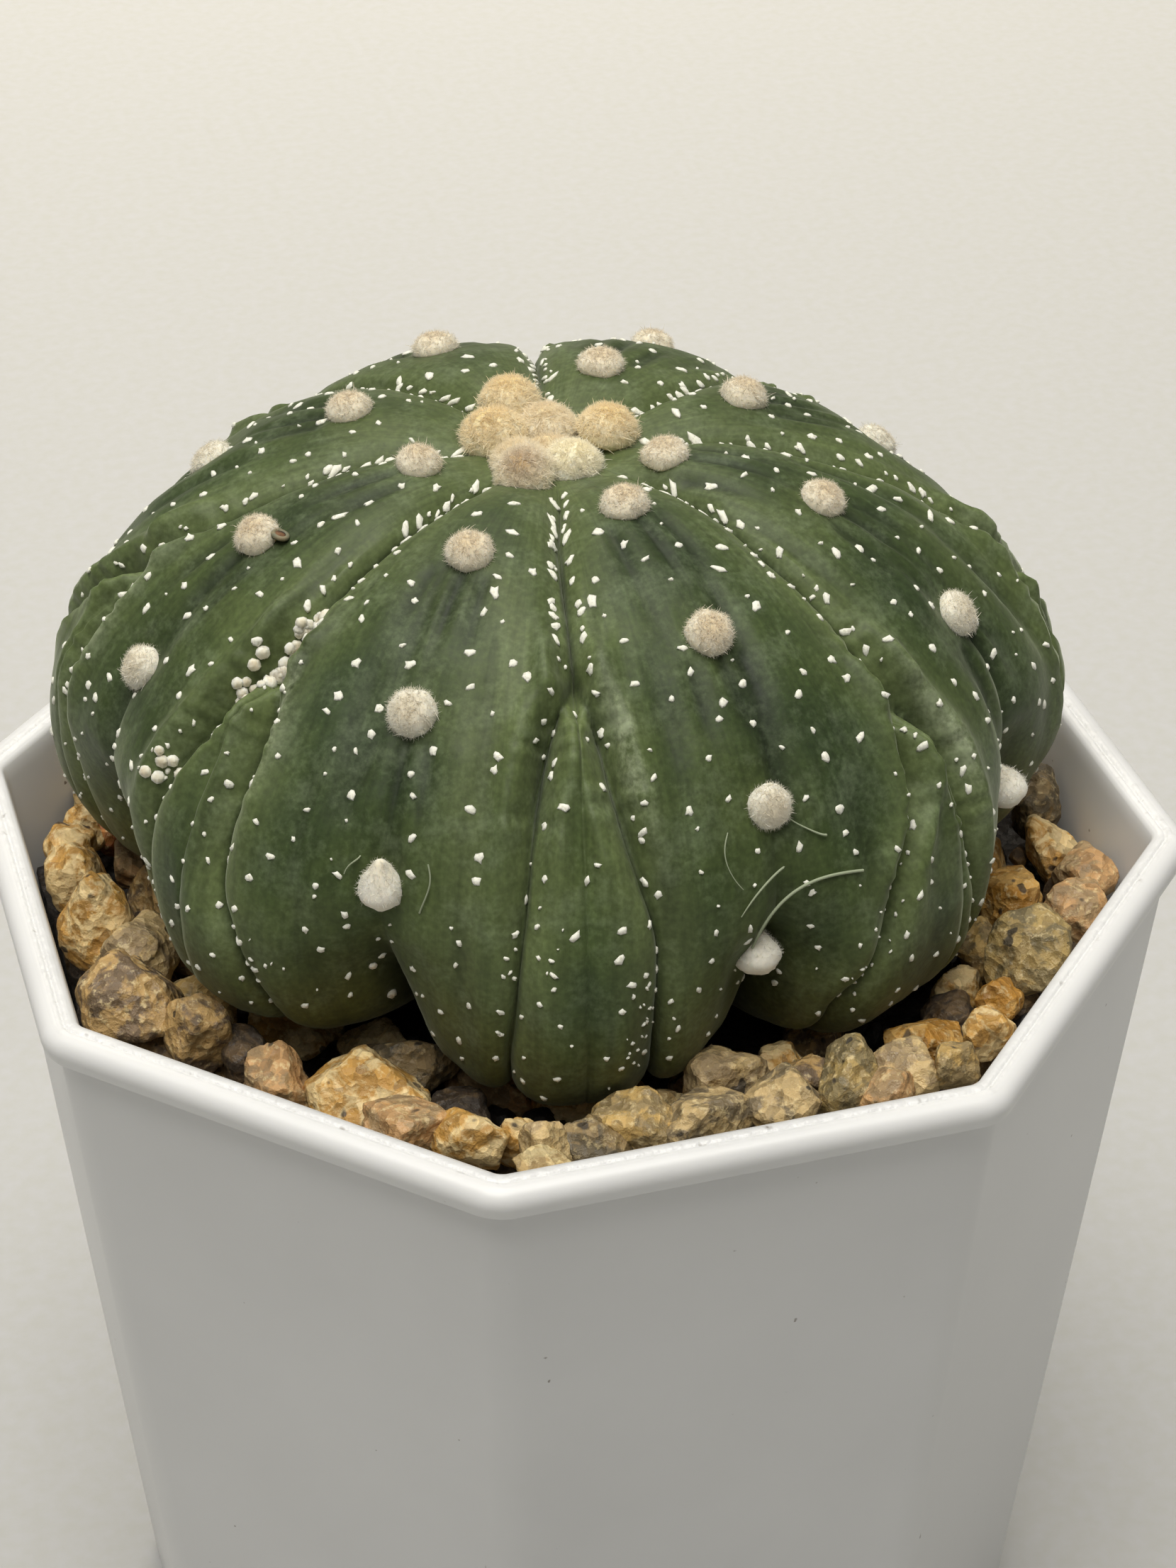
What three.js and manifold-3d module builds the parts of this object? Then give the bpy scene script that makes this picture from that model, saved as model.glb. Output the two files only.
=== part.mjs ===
// A fukuryu star cactus in a white octagonal plastic pot, with potting mix and a bed of gravel.
// Millimetres, +Z up. The origin is the middle of the pot's underside, and the pot's flat sides
// face +X, -X, +Y, -Y and the four diagonals.

import * as THREE from 'three';
import { mergeVertices } from 'three/addons/utils/BufferGeometryUtils.js';
import { ConvexGeometry } from 'three/addons/geometries/ConvexGeometry.js';
import Module from 'manifold-3d';

const wasm = await Module();
wasm.setup();

// Driving dimensions of the pot
const RIM_ACROSS_FLATS = 80;
const POT_HEIGHT = 76;
const WALL_TAPER = 0.093; // inward lean for each millimetre down
const WALL_THICKNESS = 1.7;
const FLOOR_THICKNESS = 2;
const BEAD_OVERHANG = 0.9; // how far the rolled rim stands out from the wall
const BEAD_HEIGHT = 2.2;
const DRAIN_HOLE_RADIUS = 2.5;
const DRAIN_CIRCLE_RADIUS = 18;
const GAP = 0.3; // clearance between neighbouring pieces

// Levels, measured down from the rim
const SOIL_DEPTH = 14;
const GRAVEL_BED_DEPTH = 8.6;

// Place of the plant's axis in the pot, which it leans back from the front corner
const PLANT_X = -0.5;
const PLANT_Y = 3;

// Each rib's azimuth in degrees, and how far its areoles lie from the crown along the skin.
// The first ribs face the front and the list runs anticlockwise.
const RIBS = [
  { azimuth: -126, areoles: [15.2, 27.2, 39] },
  { azimuth: -79, areoles: [10.6, 22.5, 34.2, 47] },
  { azimuth: -32, areoles: [8, 19, 31, 44.6] },
  { azimuth: 11, areoles: [15, 27.8, 39] },
  { azimuth: 55, areoles: [11, 24, 35, 45] },
  { azimuth: 101, areoles: [18, 30, 41] },
  { azimuth: 145, areoles: [14.5, 26.5, 38] },
  { azimuth: 187, areoles: [9.5, 21.3, 33, 45] },
];

// The lobe between each rib and the next. The crease down its middle forks at fork, and its two
// branches end at the shares of the half lobe in creases, left and right. clefts gives the share
// of the half lobe over which the cleft opens on each side. swell rounds out the lobe's
// shoulder, and reach and drop move its foot outward and down.
const LOBES = [
  { fork: 27, creases: [0.34, 0.42], clefts: [0.3, 0.34], swell: 0.2, reach: 0.1, drop: 0.9 },
  { fork: 29, creases: [0.42, 0.26], clefts: [0.2, 0.26], swell: 0.2, reach: -0.2, drop: -0.7 },
  { fork: 33, creases: [0.36, 0.4], clefts: [0.25, 0.3], swell: 1.2, reach: 0.6, drop: -0.8 },
  { fork: 30, creases: [0.4, 0.34], clefts: [0.3, 0.25], swell: 0.1, reach: 0, drop: -0.6 },
  { fork: 28, creases: [0.44, 0.4], clefts: [0.3, 0.2], swell: 0, reach: -1, drop: -0.2 },
  { fork: 31, creases: [0.32, 0.42], clefts: [0.2, 0.3], swell: 0.3, reach: -0.8, drop: -0.8 },
  { fork: 27, creases: [0.4, 0.38], clefts: [0.3, 0.3], swell: 1.2, reach: -0.4, drop: -1.1 },
  { fork: 29, creases: [0.44, 0.14], clefts: [0.34, 0.22], swell: 0.3, reach: -0.1, drop: -1.3 },
];

// Outline from the crown to the middle of the underside, as distance from the plant's axis and
// height above the rim: over the lobes, and down the clefts under the areoles.
const LOBE_OUTLINE = [
  [0, 24.8], [5, 26.3], [10.5, 27.2], [16.1, 26.3], [21.5, 23.9], [26.3, 20.1], [30.3, 15.3],
  [33.1, 10], [34.4, 4.8], [34, 0.3], [31.8, -3.2], [27, -5], [19, -5.8], [10, -6.2], [0, -6.2],
];
const CLEFT_OUTLINE = [
  [0, 24.8], [5, 26.3], [10.5, 27.2], [16.1, 26.3], [21.5, 23.9], [26.3, 20.1], [30, 15.2],
  [31.4, 10], [30.2, 6.2], [27.8, 3.4], [25, 0.6], [21.5, -2], [16, -4.6], [9.5, -6], [0, -6.2],
];

// The woolly crown: tufts round the growing point, each at an azimuth and a distance from the axis
const CROWN_TUFTS = [
  { azimuth: 0, distance: 0, radius: 2.3 },
  { azimuth: -126, distance: 5.2, radius: 2.3 },
  { azimuth: -71, distance: 2.6, radius: 2.4 },
  { azimuth: 11, distance: 4.2, radius: 2.4 },
  { azimuth: 79, distance: 2.9, radius: 2.4 },
  { azimuth: 101, distance: 6, radius: 2.3 },
  { azimuth: 145, distance: 4, radius: 2.5 },
  { azimuth: 205, distance: 2.8, radius: 2.2 },
];

// Stones of the gravel seen round the plant: azimuth, distance from the pot's axis, height above
// the rim, width and height
const SEEN_STONES = [
  [147, 36.2, -6, 4.2, 4], [155, 35.4, -6.4, 3.4, 3.4], [153, 33, -7, 3.6, 3.2],
  [162, 35.4, -5.2, 3.8, 4], [167, 34.6, -5, 4.8, 4.8], [163, 31, -6, 3.6, 3.8],
  [179, 33.4, -4, 6, 6.2], [-172, 32, -3.8, 6, 5.2], [-162, 34.6, -3, 7.2, 5],
  [-154, 33.4, -3.2, 4.6, 5], [-149, 31.6, -4.8, 4, 3.6], [-141, 33.6, -3, 5, 4],
  [-130, 25.6, -5.4, 5.4, 4.2], [-130, 31.4, -3.2, 7, 5], [-124, 35.2, -2.4, 5.6, 3.4],
  [-121, 28.4, -6.2, 4, 3.4], [-116, 34.8, -2.8, 4.6, 4.2], [-112, 32.6, -4, 3, 3.4],
  [-109, 35.2, -2.6, 3.6, 3.8], [-104, 34.4, -2.8, 3.8, 3.8], [-99, 33.2, -2.8, 5.2, 4.4],
  [-109, 37.2, -2, 3.2, 2.4], [-92, 33.4, -2.8, 5.6, 4], [-86, 29.2, -3.8, 5.4, 5],
  [-77, 27.6, -5.2, 3.4, 3.2], [-76, 30.4, -4, 3.2, 3], [-82, 33.4, -2.6, 4.6, 3.8],
  [-74, 33.6, -2.6, 5, 4.8], [-68, 34.8, -2.8, 4.4, 3.4], [-72, 36, -2.2, 4, 2.6],
  [-64, 36.6, -2.4, 3.4, 3.2], [-57, 36, -2.8, 3.6, 3.6], [-59, 31.8, -5, 5.6, 3.4],
  [-51, 30.6, -6, 4.2, 3.2], [-48, 33.4, -5, 3.4, 3.8], [-41, 34, -2.9, 5.8, 6.6],
  [-26, 31.6, -5.2, 5, 4.6], [-30, 35.4, -3.8, 4.8, 4.6], [-37, 30.2, -5.6, 4, 4],
  [-45, 30, -6.4, 3.6, 4], [-4, 34.8, -5.6, 4.6, 4.8], [-12, 34.6, -6.2, 4.6, 4.4],
];
const STONE_SEED = 71;
const STONE_ROOT = 1; // how far each stone reaches into the bed
const STONE_CLEARANCE = 3.8; // least distance of any other stone from a seen one
const STONE_RINGS = [
  { wallDistance: 34, height: -5.6, spacing: 6 },
  { wallDistance: 28.5, height: -7, spacing: 6.8 },
  { wallDistance: 23, height: -7.8, spacing: 7.6 },
];

const FLECK_SEED = 23;
const FLECK_ROW_SPACING = 2.1;
const FLECK_SPACING = 3.4;
const FLECK_SHARE = 6; // one of this many flecks is raised in the solid

const degrees = Math.PI / 180;

function makeRandom(seed) {
  let state = seed;
  return () => {
    state = (state + 0x6d2b79f5) | 0;
    let mixed = Math.imul(state ^ (state >>> 15), 1 | state);
    mixed = (mixed + Math.imul(mixed ^ (mixed >>> 7), 61 | mixed)) ^ mixed;
    return ((mixed ^ (mixed >>> 14)) >>> 0) / 4294967296;
  };
}

function smoothstep(from, to, value) {
  const share = Math.min(Math.max((value - from) / (to - from), 0), 1);
  return share * share * (3 - 2 * share);
}

// Solids and meshes

function toSolid(geometry) {
  const bare = geometry.index ? geometry.clone() : geometry;
  bare.deleteAttribute('normal');
  bare.deleteAttribute('uv');
  const merged = mergeVertices(bare, 1e-4);
  const vertProperties = Float32Array.from(merged.attributes.position.array);
  const triVerts = Uint32Array.from(merged.index.array);
  return new wasm.Manifold(new wasm.Mesh({ numProp: 3, vertProperties, triVerts }));
}

function toMesh(name, solid, colour, roughness) {
  const { vertProperties, triVerts } = solid.getMesh();
  const geometry = new THREE.BufferGeometry();
  geometry.setAttribute('position', new THREE.BufferAttribute(vertProperties, 3));
  geometry.setIndex(new THREE.BufferAttribute(triVerts, 1));
  geometry.computeVertexNormals();
  const material = new THREE.MeshStandardMaterial({ color: colour, roughness, metalness: 0 });
  const mesh = new THREE.Mesh(geometry, material);
  mesh.name = name;
  return mesh;
}

// A closed solid through rings of points, each ring with the same count, capped at both ends
function loft(rings, startPoint, endPoint) {
  const count = rings[0].length;
  const points = [startPoint, ...rings.flat(), endPoint];
  const last = points.length - 1;
  const faces = [];
  for (let i = 0; i < count; i += 1) {
    const next = (i + 1) % count;
    faces.push(0, 1 + next, 1 + i);
    for (let row = 0; row + 1 < rings.length; row += 1) {
      const a = 1 + row * count + i;
      const b = 1 + row * count + next;
      faces.push(a, b, b + count, a, b + count, a + count);
    }
    const top = 1 + (rings.length - 1) * count;
    faces.push(top + i, top + next, last);
  }
  const geometry = new THREE.BufferGeometry();
  geometry.setAttribute('position', new THREE.Float32BufferAttribute(points.flat(), 3));
  geometry.setIndex(faces);
  return toSolid(geometry);
}

// Pot and its filling

const CORNER_STEPS = 3;

// Points of an octagon with rounded corners, at a height
function octagonRing(apothem, cornerRadius, height) {
  const ring = [];
  const centreDistance = (apothem - cornerRadius) / Math.cos(22.5 * degrees);
  for (let corner = 0; corner < 8; corner += 1) {
    const towardCorner = (corner * 45 + 22.5) * degrees;
    const x = centreDistance * Math.cos(towardCorner);
    const y = centreDistance * Math.sin(towardCorner);
    for (let step = 0; step <= CORNER_STEPS; step += 1) {
      const turn = towardCorner + (step / CORNER_STEPS - 0.5) * 45 * degrees;
      ring.push([x + cornerRadius * Math.cos(turn), y + cornerRadius * Math.sin(turn), height]);
    }
  }
  return ring;
}

const rimApothem = RIM_ACROSS_FLATS / 2;
const OUTER_CORNER_RADIUS = 5.5;
const INNER_CORNER_RADIUS = 4;

function wallOutside(height) {
  return rimApothem - BEAD_OVERHANG - WALL_TAPER * (POT_HEIGHT - height);
}

function wallInside(height) {
  return wallOutside(height) - WALL_THICKNESS;
}

function potSolid() {
  const top = POT_HEIGHT;
  const outside = (apothem, height) => octagonRing(apothem, OUTER_CORNER_RADIUS, height);
  const inside = (apothem, height) => octagonRing(apothem, INNER_CORNER_RADIUS, height);
  const rings = [
    outside(wallOutside(0) - 0.5, 0),
    outside(wallOutside(0.6), 0.6),
    outside(wallOutside(top - BEAD_HEIGHT), top - BEAD_HEIGHT),
    outside(rimApothem - 0.2, top - BEAD_HEIGHT + 0.25),
    outside(rimApothem, top - 1.3),
    outside(rimApothem - 0.35, top - 0.4),
    outside(rimApothem - 1.1, top),
    inside(rimApothem - 1.7, top),
    inside(rimApothem - 2.5, top - 0.4),
    inside(wallInside(top - 1.4), top - 1.4),
    inside(wallInside(FLOOR_THICKNESS), FLOOR_THICKNESS),
  ];
  let pot = loft(rings, [0, 0, 0], [0, 0, FLOOR_THICKNESS]);
  for (let hole = 0; hole < 4; hole += 1) {
    const drill = new THREE.CylinderGeometry(DRAIN_HOLE_RADIUS, DRAIN_HOLE_RADIUS, 3 * FLOOR_THICKNESS, 12);
    drill.rotateX(90 * degrees);
    drill.translate(DRAIN_CIRCLE_RADIUS, 0, FLOOR_THICKNESS / 2);
    drill.rotateZ((45 + 90 * hole) * degrees);
    pot = pot.subtract(toSolid(drill));
  }
  return pot;
}

// The space inside the pot's wall between two heights, less the clearance
function fillSolid(from, to) {
  const ring = (height) => octagonRing(wallInside(height) - GAP, INNER_CORNER_RADIUS - GAP, height);
  return loft([ring(from), ring(to)], [0, 0, from], [0, 0, to]);
}

// Plant

const LOBE_COUNT = RIBS.length;
const RIB_ROUNDING = 1.1; // how far the skin sinks from a rib's crest to the middle of a lobe
const CREASE_DEPTH = 1.1;
const BRANCH_DEPTH = 1.4;
const BRANCH_RUN = 25; // length of skin over which the branches spread

// Distance along the lobe outline of each of its points
const outlineStations = [0];
for (let i = 1; i < LOBE_OUTLINE.length; i += 1) {
  const [r0, z0] = LOBE_OUTLINE[i - 1];
  const [r1, z1] = LOBE_OUTLINE[i];
  outlineStations.push(outlineStations[i - 1] + Math.hypot(r1 - r0, z1 - z0));
}
const OUTLINE_LENGTH = outlineStations[outlineStations.length - 1];

// Smooth curve through an outline's points, at a distance along the skin from the crown
function alongOutline(outline, along) {
  let span = 0;
  while (span < outline.length - 2 && outlineStations[span + 1] < along) span += 1;
  const t = (along - outlineStations[span]) / (outlineStations[span + 1] - outlineStations[span]);
  const before = outline[Math.max(span - 1, 0)];
  const start = outline[span];
  const end = outline[span + 1];
  const after = outline[Math.min(span + 2, outline.length - 1)];
  return [0, 1].map((axis) => 0.5 * (2 * start[axis]
    + (end[axis] - before[axis]) * t
    + (2 * before[axis] - 5 * start[axis] + 4 * end[axis] - after[axis]) * t * t
    + (3 * start[axis] - before[axis] - 3 * end[axis] + after[axis]) * t * t * t));
}

function lobeAzimuth(lobe, across) {
  const from = RIBS[lobe].azimuth;
  let to = RIBS[(lobe + 1) % LOBE_COUNT].azimuth;
  if (to < from) to += 360;
  return ((from + to) / 2 + across * (to - from) / 2) * degrees;
}

// Where a lobe's left or right branch crease runs, as a share of the half lobe
function branchAcross(lobe, side, along) {
  const share = Math.min(Math.max((along - lobe.fork) / BRANCH_RUN, 0), 1);
  const spread = lobe.creases[side < 0 ? 0 : 1];
  return side * spread * (1 - (1 - share) * (1 - share));
}

// A point of the skin. across runs from -1 to 1 over a lobe, with the crease at 0 and the
// areoles at both ends, and along is the distance from the crown.
function skinPoint(lobeIndex, across, along) {
  const lobe = LOBES[lobeIndex];
  const side = Math.abs(across);
  const cleft = Math.exp(-(((1 - side) / lobe.clefts[across < 0 ? 0 : 1]) ** 2));
  const [lobeR, lobeZ] = alongOutline(LOBE_OUTLINE, along);
  const [cleftR, cleftZ] = alongOutline(CLEFT_OUTLINE, along);
  const foot = (1 - side ** 4) * smoothstep(30, 48, along) * (1 - smoothstep(58, 72, along));
  let r = lobeR + (cleftR - lobeR) * cleft + lobe.reach * foot;
  let z = lobeZ + (cleftZ - lobeZ) * cleft - lobe.drop * foot;

  const [aheadR, aheadZ] = alongOutline(LOBE_OUTLINE, Math.min(along + 0.5, OUTLINE_LENGTH));
  const [backR, backZ] = alongOutline(LOBE_OUTLINE, Math.max(along - 0.5, 0));
  const slope = Math.hypot(aheadR - backR, aheadZ - backZ);
  const normalR = -(aheadZ - backZ) / slope;
  const normalZ = (aheadR - backR) / slope;

  const upper = smoothstep(4, 12, along) * (1 - smoothstep(26, 40, along));
  const ribRound = RIB_ROUNDING * upper * (1 - side) ** 2;
  const crease = CREASE_DEPTH * smoothstep(5, 11, along) * (1 - smoothstep(26, 36, along));
  const lower = smoothstep(lobe.fork, lobe.fork + 8, along) * (1 - smoothstep(60, 70, along));
  const swell = lobe.swell * (1 - side ** 2) * smoothstep(16, 32, along)
    * (1 - smoothstep(40, 54, along));
  const branch = branchAcross(lobe, Math.sign(across), along);
  const offBranch = Math.abs(across - branch);
  const sink = ribRound + crease * Math.exp(-side / 0.07)
    + BRANCH_DEPTH * lower * Math.exp(-offBranch / 0.06) - swell;
  r -= normalR * sink;
  z -= normalZ * sink;

  const azimuth = lobeAzimuth(lobeIndex, across);
  return [
    PLANT_X + r * Math.cos(azimuth), PLANT_Y + r * Math.sin(azimuth), POT_HEIGHT + z,
  ];
}

const SKIN_ROWS = [
  3, 6.5, 9.5, 13, 16.5, 20, 23.5, 27, 30, 33, 36, 39, 42, 45, 47.5, 50, 52.5, 55, 58, 62, 67, 74,
];

// Lines of the skin's mesh across a lobe at one row: they follow the creases
function acrossLines(lobe, along) {
  const half = (side) => {
    const branch = Math.max(Math.abs(branchAcross(lobe, side, along)), 0.12);
    return [branch, (branch + 0.72) / 2, 0.72, 0.87, 1].map((share) => share * side);
  };
  return [...half(-1).reverse(), 0, ...half(1)];
}

// The mesh of the skin
function skinSolid() {
  const rings = SKIN_ROWS.map((along) => LOBES.flatMap((lobe, index) => {
    const lines = acrossLines(lobe, along).slice(0, -1);
    return lines.map((across) => skinPoint(index, across, along));
  }));
  const pole = (along) => {
    const [, z] = alongOutline(LOBE_OUTLINE, along);
    return [PLANT_X, PLANT_Y, POT_HEIGHT + z];
  };
  rings.reverse();
  return loft(rings, pole(OUTLINE_LENGTH), pole(0));
}

// A point on the flat faces between the mesh lines of the skin
function facePoint(lobeIndex, across, along) {
  const row = SKIN_ROWS.findLastIndex((station) => station <= along);
  const onRow = (station) => {
    const lines = acrossLines(LOBES[lobeIndex], station);
    const line = Math.min(Math.max(lines.findLastIndex((value) => value <= across), 0), lines.length - 2);
    const start = new THREE.Vector3(...skinPoint(lobeIndex, lines[line], station));
    const end = new THREE.Vector3(...skinPoint(lobeIndex, lines[line + 1], station));
    return start.lerp(end, (across - lines[line]) / (lines[line + 1] - lines[line]));
  };
  const share = (along - SKIN_ROWS[row]) / (SKIN_ROWS[row + 1] - SKIN_ROWS[row]);
  return onRow(SKIN_ROWS[row]).lerp(onRow(SKIN_ROWS[row + 1]), share);
}

// A frame on the skin: its point, and unit vectors outward and down the skin
function frameFrom(point, above, below, left, right) {
  const down = below.sub(above).normalize();
  const out = new THREE.Vector3().crossVectors(down, right.sub(left)).normalize();
  return { point, out, down };
}

function skinFrame(lobe, across, along) {
  const at = (a, s) => facePoint(lobe, a, s);
  return frameFrom(
    at(across, along), at(across, along - 0.4), at(across, along + 0.4),
    at(across - 0.02, along), at(across + 0.02, along),
  );
}

// The same on a rib's crest, between two lobes
function crestFrame(rib, along) {
  const before = (rib + LOBE_COUNT - 1) % LOBE_COUNT;
  return frameFrom(
    facePoint(rib, -1, along), facePoint(rib, -1, along - 1), facePoint(rib, -1, along + 1),
    facePoint(before, 0.94, along), facePoint(rib, -0.94, along),
  );
}

// Plain round solids that hold a stretch of the body, with room to spare
function roundSolid(profile, sides) {
  const solid = new THREE.LatheGeometry(profile.map(([r, z]) => new THREE.Vector2(r, z)), sides);
  solid.rotateX(90 * degrees);
  solid.translate(PLANT_X, PLANT_Y, POT_HEIGHT);
  return toSolid(solid);
}

function crownClearance() {
  const lifted = LOBE_OUTLINE.slice(0, 4).map(([r, z]) => [r, z + GAP + 0.1]);
  return roundSolid([[0, 20], [lifted[3][0], 20], ...lifted.reverse()], 16);
}

function footClearance() {
  const room = GAP + 0.5;
  const foot = LOBE_OUTLINE.slice(7, 12).map(([r, z]) => [r + room, z - room]);
  return roundSolid([[0, foot[4][1] - 1], ...foot.reverse(), [0, foot[4][1]]], 32);
}

// The stout root below the body
function rootSolid(extra) {
  const profile = [
    [0, -22 - extra], [2.5 + extra, -21.4 - extra], [5 + extra, -17], [7.2 + extra, -12],
    [8.4 + extra, -8], [9 + extra, -4], [0, -4],
  ];
  return roundSolid(profile, 16);
}

// A round-topped tuft on the skin, sunk into it
const TUFT_SINK = 0.55;
function tuft(frame, radius, height) {
  const dome = new THREE.SphereGeometry(1, 8, 4);
  dome.rotateX(90 * degrees);
  dome.scale(radius, radius, height);
  dome.applyQuaternion(new THREE.Quaternion().setFromUnitVectors(new THREE.Vector3(0, 0, 1), frame.out));
  const centre = frame.point.clone().addScaledVector(frame.out, TUFT_SINK);
  dome.translate(centre.x, centre.y, centre.z);
  return toSolid(dome);
}

function areoleRadius(along) {
  return 1.95 - 0.35 * smoothstep(10, 40, along);
}

function areoleTufts() {
  return RIBS.flatMap((rib, index) => rib.areoles.map((along) => {
    const radius = areoleRadius(along);
    return tuft(crestFrame(index, along), radius, 0.78 * radius);
  }));
}

// White flecks in rough rows all over the skin, and closer along the creases
function fleckPlaces() {
  const random = makeRandom(FLECK_SEED);
  const places = [];
  for (let along = 10; along < 53; along += FLECK_ROW_SPACING) {
    const [radius] = alongOutline(LOBE_OUTLINE, along);
    const perLobe = Math.round(2 * Math.PI * radius / LOBE_COUNT / FLECK_SPACING);
    for (let lobe = 0; lobe < LOBE_COUNT; lobe += 1) {
      for (let i = 0; i < perLobe; i += 1) {
        const across = ((i + 0.5 + 0.7 * (random() - 0.5)) / perLobe) * 2 - 1;
        const jitter = 1.5 * (random() - 0.5);
        places.push({ lobe, across, along: along + jitter, size: 0.75 + 0.5 * random(), turn: random() });
      }
    }
  }
  return places;
}

function fleckBumps() {
  return fleckPlaces().filter((place, index) => index % FLECK_SHARE === 0).map((place) => {
    const frame = skinFrame(place.lobe, place.across, place.along);
    const side = new THREE.Vector3().crossVectors(frame.out, frame.down).normalize();
    const down = new THREE.Vector3().crossVectors(frame.out, side);
    const bump = new THREE.OctahedronGeometry(1);
    bump.scale(0.3 * place.size, 0.45 * place.size, 0.35);
    bump.rotateZ((place.turn - 0.5) * 60 * degrees);
    bump.applyMatrix4(new THREE.Matrix4().makeBasis(side, down, frame.out));
    bump.translate(frame.point.x, frame.point.y, frame.point.z);
    return toSolid(bump);
  });
}

function plantSolid() {
  const pieces = [skinSolid(), rootSolid(0), ...areoleTufts(), ...fleckBumps()];
  return wasm.Manifold.union(pieces);
}

function crownWoolSolid(clearance) {
  const tufts = CROWN_TUFTS.map(({ azimuth, distance, radius }) => {
    const [, z] = alongOutline(LOBE_OUTLINE, distance);
    const x = PLANT_X + distance * Math.cos(azimuth * degrees);
    const y = PLANT_Y + distance * Math.sin(azimuth * degrees);
    const point = new THREE.Vector3(x, y, POT_HEIGHT + z);
    return tuft({ point, out: new THREE.Vector3(0, 0, 1) }, radius, 0.9 * radius);
  });
  return wasm.Manifold.union(tufts).subtract(clearance);
}

// Gravel

// A crushed stone: the hull of twelve points spread over an ellipsoid and pushed about, and of
// one more point that roots it in the bed
function stoneSolid(random, azimuth, distance, height, width, tall) {
  const golden = (1 + Math.sqrt(5)) / 2;
  const corners = [];
  for (const a of [-1, 1]) {
    for (const b of [-golden, golden]) corners.push([0, a, b], [a, b, 0], [b, 0, a]);
  }
  const turn = new THREE.Euler(random() * 6.3, random() * 6.3, random() * 6.3);
  const points = corners.map(([x, y, z]) => {
    const reach = 0.86 + 0.3 * random();
    const point = new THREE.Vector3(x, y, z).normalize().applyEuler(turn).multiplyScalar(reach);
    point.multiply(new THREE.Vector3(width * 0.42, width * 0.52, tall * 0.52));
    point.applyAxisAngle(new THREE.Vector3(0, 0, 1), azimuth * degrees);
    return point;
  });
  points.push(new THREE.Vector3(0, 0, -GRAVEL_BED_DEPTH - STONE_ROOT - height));
  const stone = new ConvexGeometry(points);
  const x = distance * Math.cos(azimuth * degrees);
  const y = distance * Math.sin(azimuth * degrees);
  stone.translate(x, y, POT_HEIGHT + height);
  return toSolid(stone);
}

function gravelStones() {
  const random = makeRandom(STONE_SEED);
  const stones = SEEN_STONES.map((stone) => stoneSolid(random, ...stone));
  const nearSeenStone = (azimuth, distance) => SEEN_STONES.some(([seenAzimuth, seenDistance]) => {
    const gap = new THREE.Vector2(distance, 0).rotateAround(new THREE.Vector2(), azimuth * degrees)
      .distanceTo(new THREE.Vector2(seenDistance, 0)
        .rotateAround(new THREE.Vector2(), seenAzimuth * degrees));
    return gap < STONE_CLEARANCE;
  });
  for (const { wallDistance, height, spacing } of STONE_RINGS) {
    const count = Math.round(2 * Math.PI * wallDistance / spacing);
    for (let i = 0; i < count; i += 1) {
      const azimuth = (i + 0.3 * random()) * 360 / count - 180;
      const fromFlat = ((azimuth + 382.5) % 45) - 22.5;
      const distance = wallDistance / Math.cos(fromFlat * degrees) + random() - 0.5;
      const width = 4.4 + 2.2 * random();
      const tall = 0.8 * width;
      const level = height + 0.8 * (random() - 0.5);
      if (!nearSeenStone(azimuth, distance)) {
        stones.push(stoneSolid(random, azimuth, distance, level, width, tall));
      }
    }
  }
  return stones;
}

function gravelSolid(clearance) {
  const bedTop = POT_HEIGHT - GRAVEL_BED_DEPTH;
  const bed = fillSolid(POT_HEIGHT - SOIL_DEPTH + GAP, bedTop);
  const room = fillSolid(POT_HEIGHT - SOIL_DEPTH + GAP, POT_HEIGHT + 3);
  return wasm.Manifold.union([bed, ...gravelStones()]).intersect(room).subtract(clearance);
}

// The whole object

const rootClearance = rootSolid(GAP + 0.1);
const plantClearance = footClearance().add(rootClearance);
const soil = fillSolid(FLOOR_THICKNESS + GAP, POT_HEIGHT - SOIL_DEPTH).subtract(rootClearance);

const pottedCactus = new THREE.Group();
pottedCactus.add(
  toMesh('pot', potSolid(), 0xe9e8e4, 0.35),
  toMesh('potting_mix', soil, 0x2b211a, 0.95),
  toMesh('gravel', gravelSolid(plantClearance), 0xb58f55, 0.85),
  toMesh('cactus_body', plantSolid(), 0x4d6641, 0.5),
  toMesh('crown_wool', crownWoolSolid(crownClearance()), 0xe3cf9c, 0.95),
);

export default pottedCactus;
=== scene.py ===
"""A fukuryu star cactus in a white octagonal plastic pot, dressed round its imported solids.

Shapes are modelled in millimetres, in the solids' own frame, and settle() brings each finished
piece to metres. The ribs, lobes, stones and wool tufts lie where the solids have them.
"""

import math
import random

import bpy
import numpy as np
from mathutils import Euler, Matrix, Vector
from mathutils.bvhtree import BVHTree


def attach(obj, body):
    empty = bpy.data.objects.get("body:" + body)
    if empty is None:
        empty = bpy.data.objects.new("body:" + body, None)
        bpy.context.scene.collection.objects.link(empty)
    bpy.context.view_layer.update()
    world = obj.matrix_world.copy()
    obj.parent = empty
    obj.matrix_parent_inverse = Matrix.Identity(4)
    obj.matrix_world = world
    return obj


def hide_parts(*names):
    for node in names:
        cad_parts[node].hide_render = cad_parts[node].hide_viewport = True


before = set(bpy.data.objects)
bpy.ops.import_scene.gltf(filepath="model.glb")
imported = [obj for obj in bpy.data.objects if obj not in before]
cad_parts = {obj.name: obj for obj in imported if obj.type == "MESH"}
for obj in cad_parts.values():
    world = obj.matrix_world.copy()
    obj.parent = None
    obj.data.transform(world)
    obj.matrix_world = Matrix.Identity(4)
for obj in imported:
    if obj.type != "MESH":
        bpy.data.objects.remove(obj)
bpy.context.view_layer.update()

MM = 0.001

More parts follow.
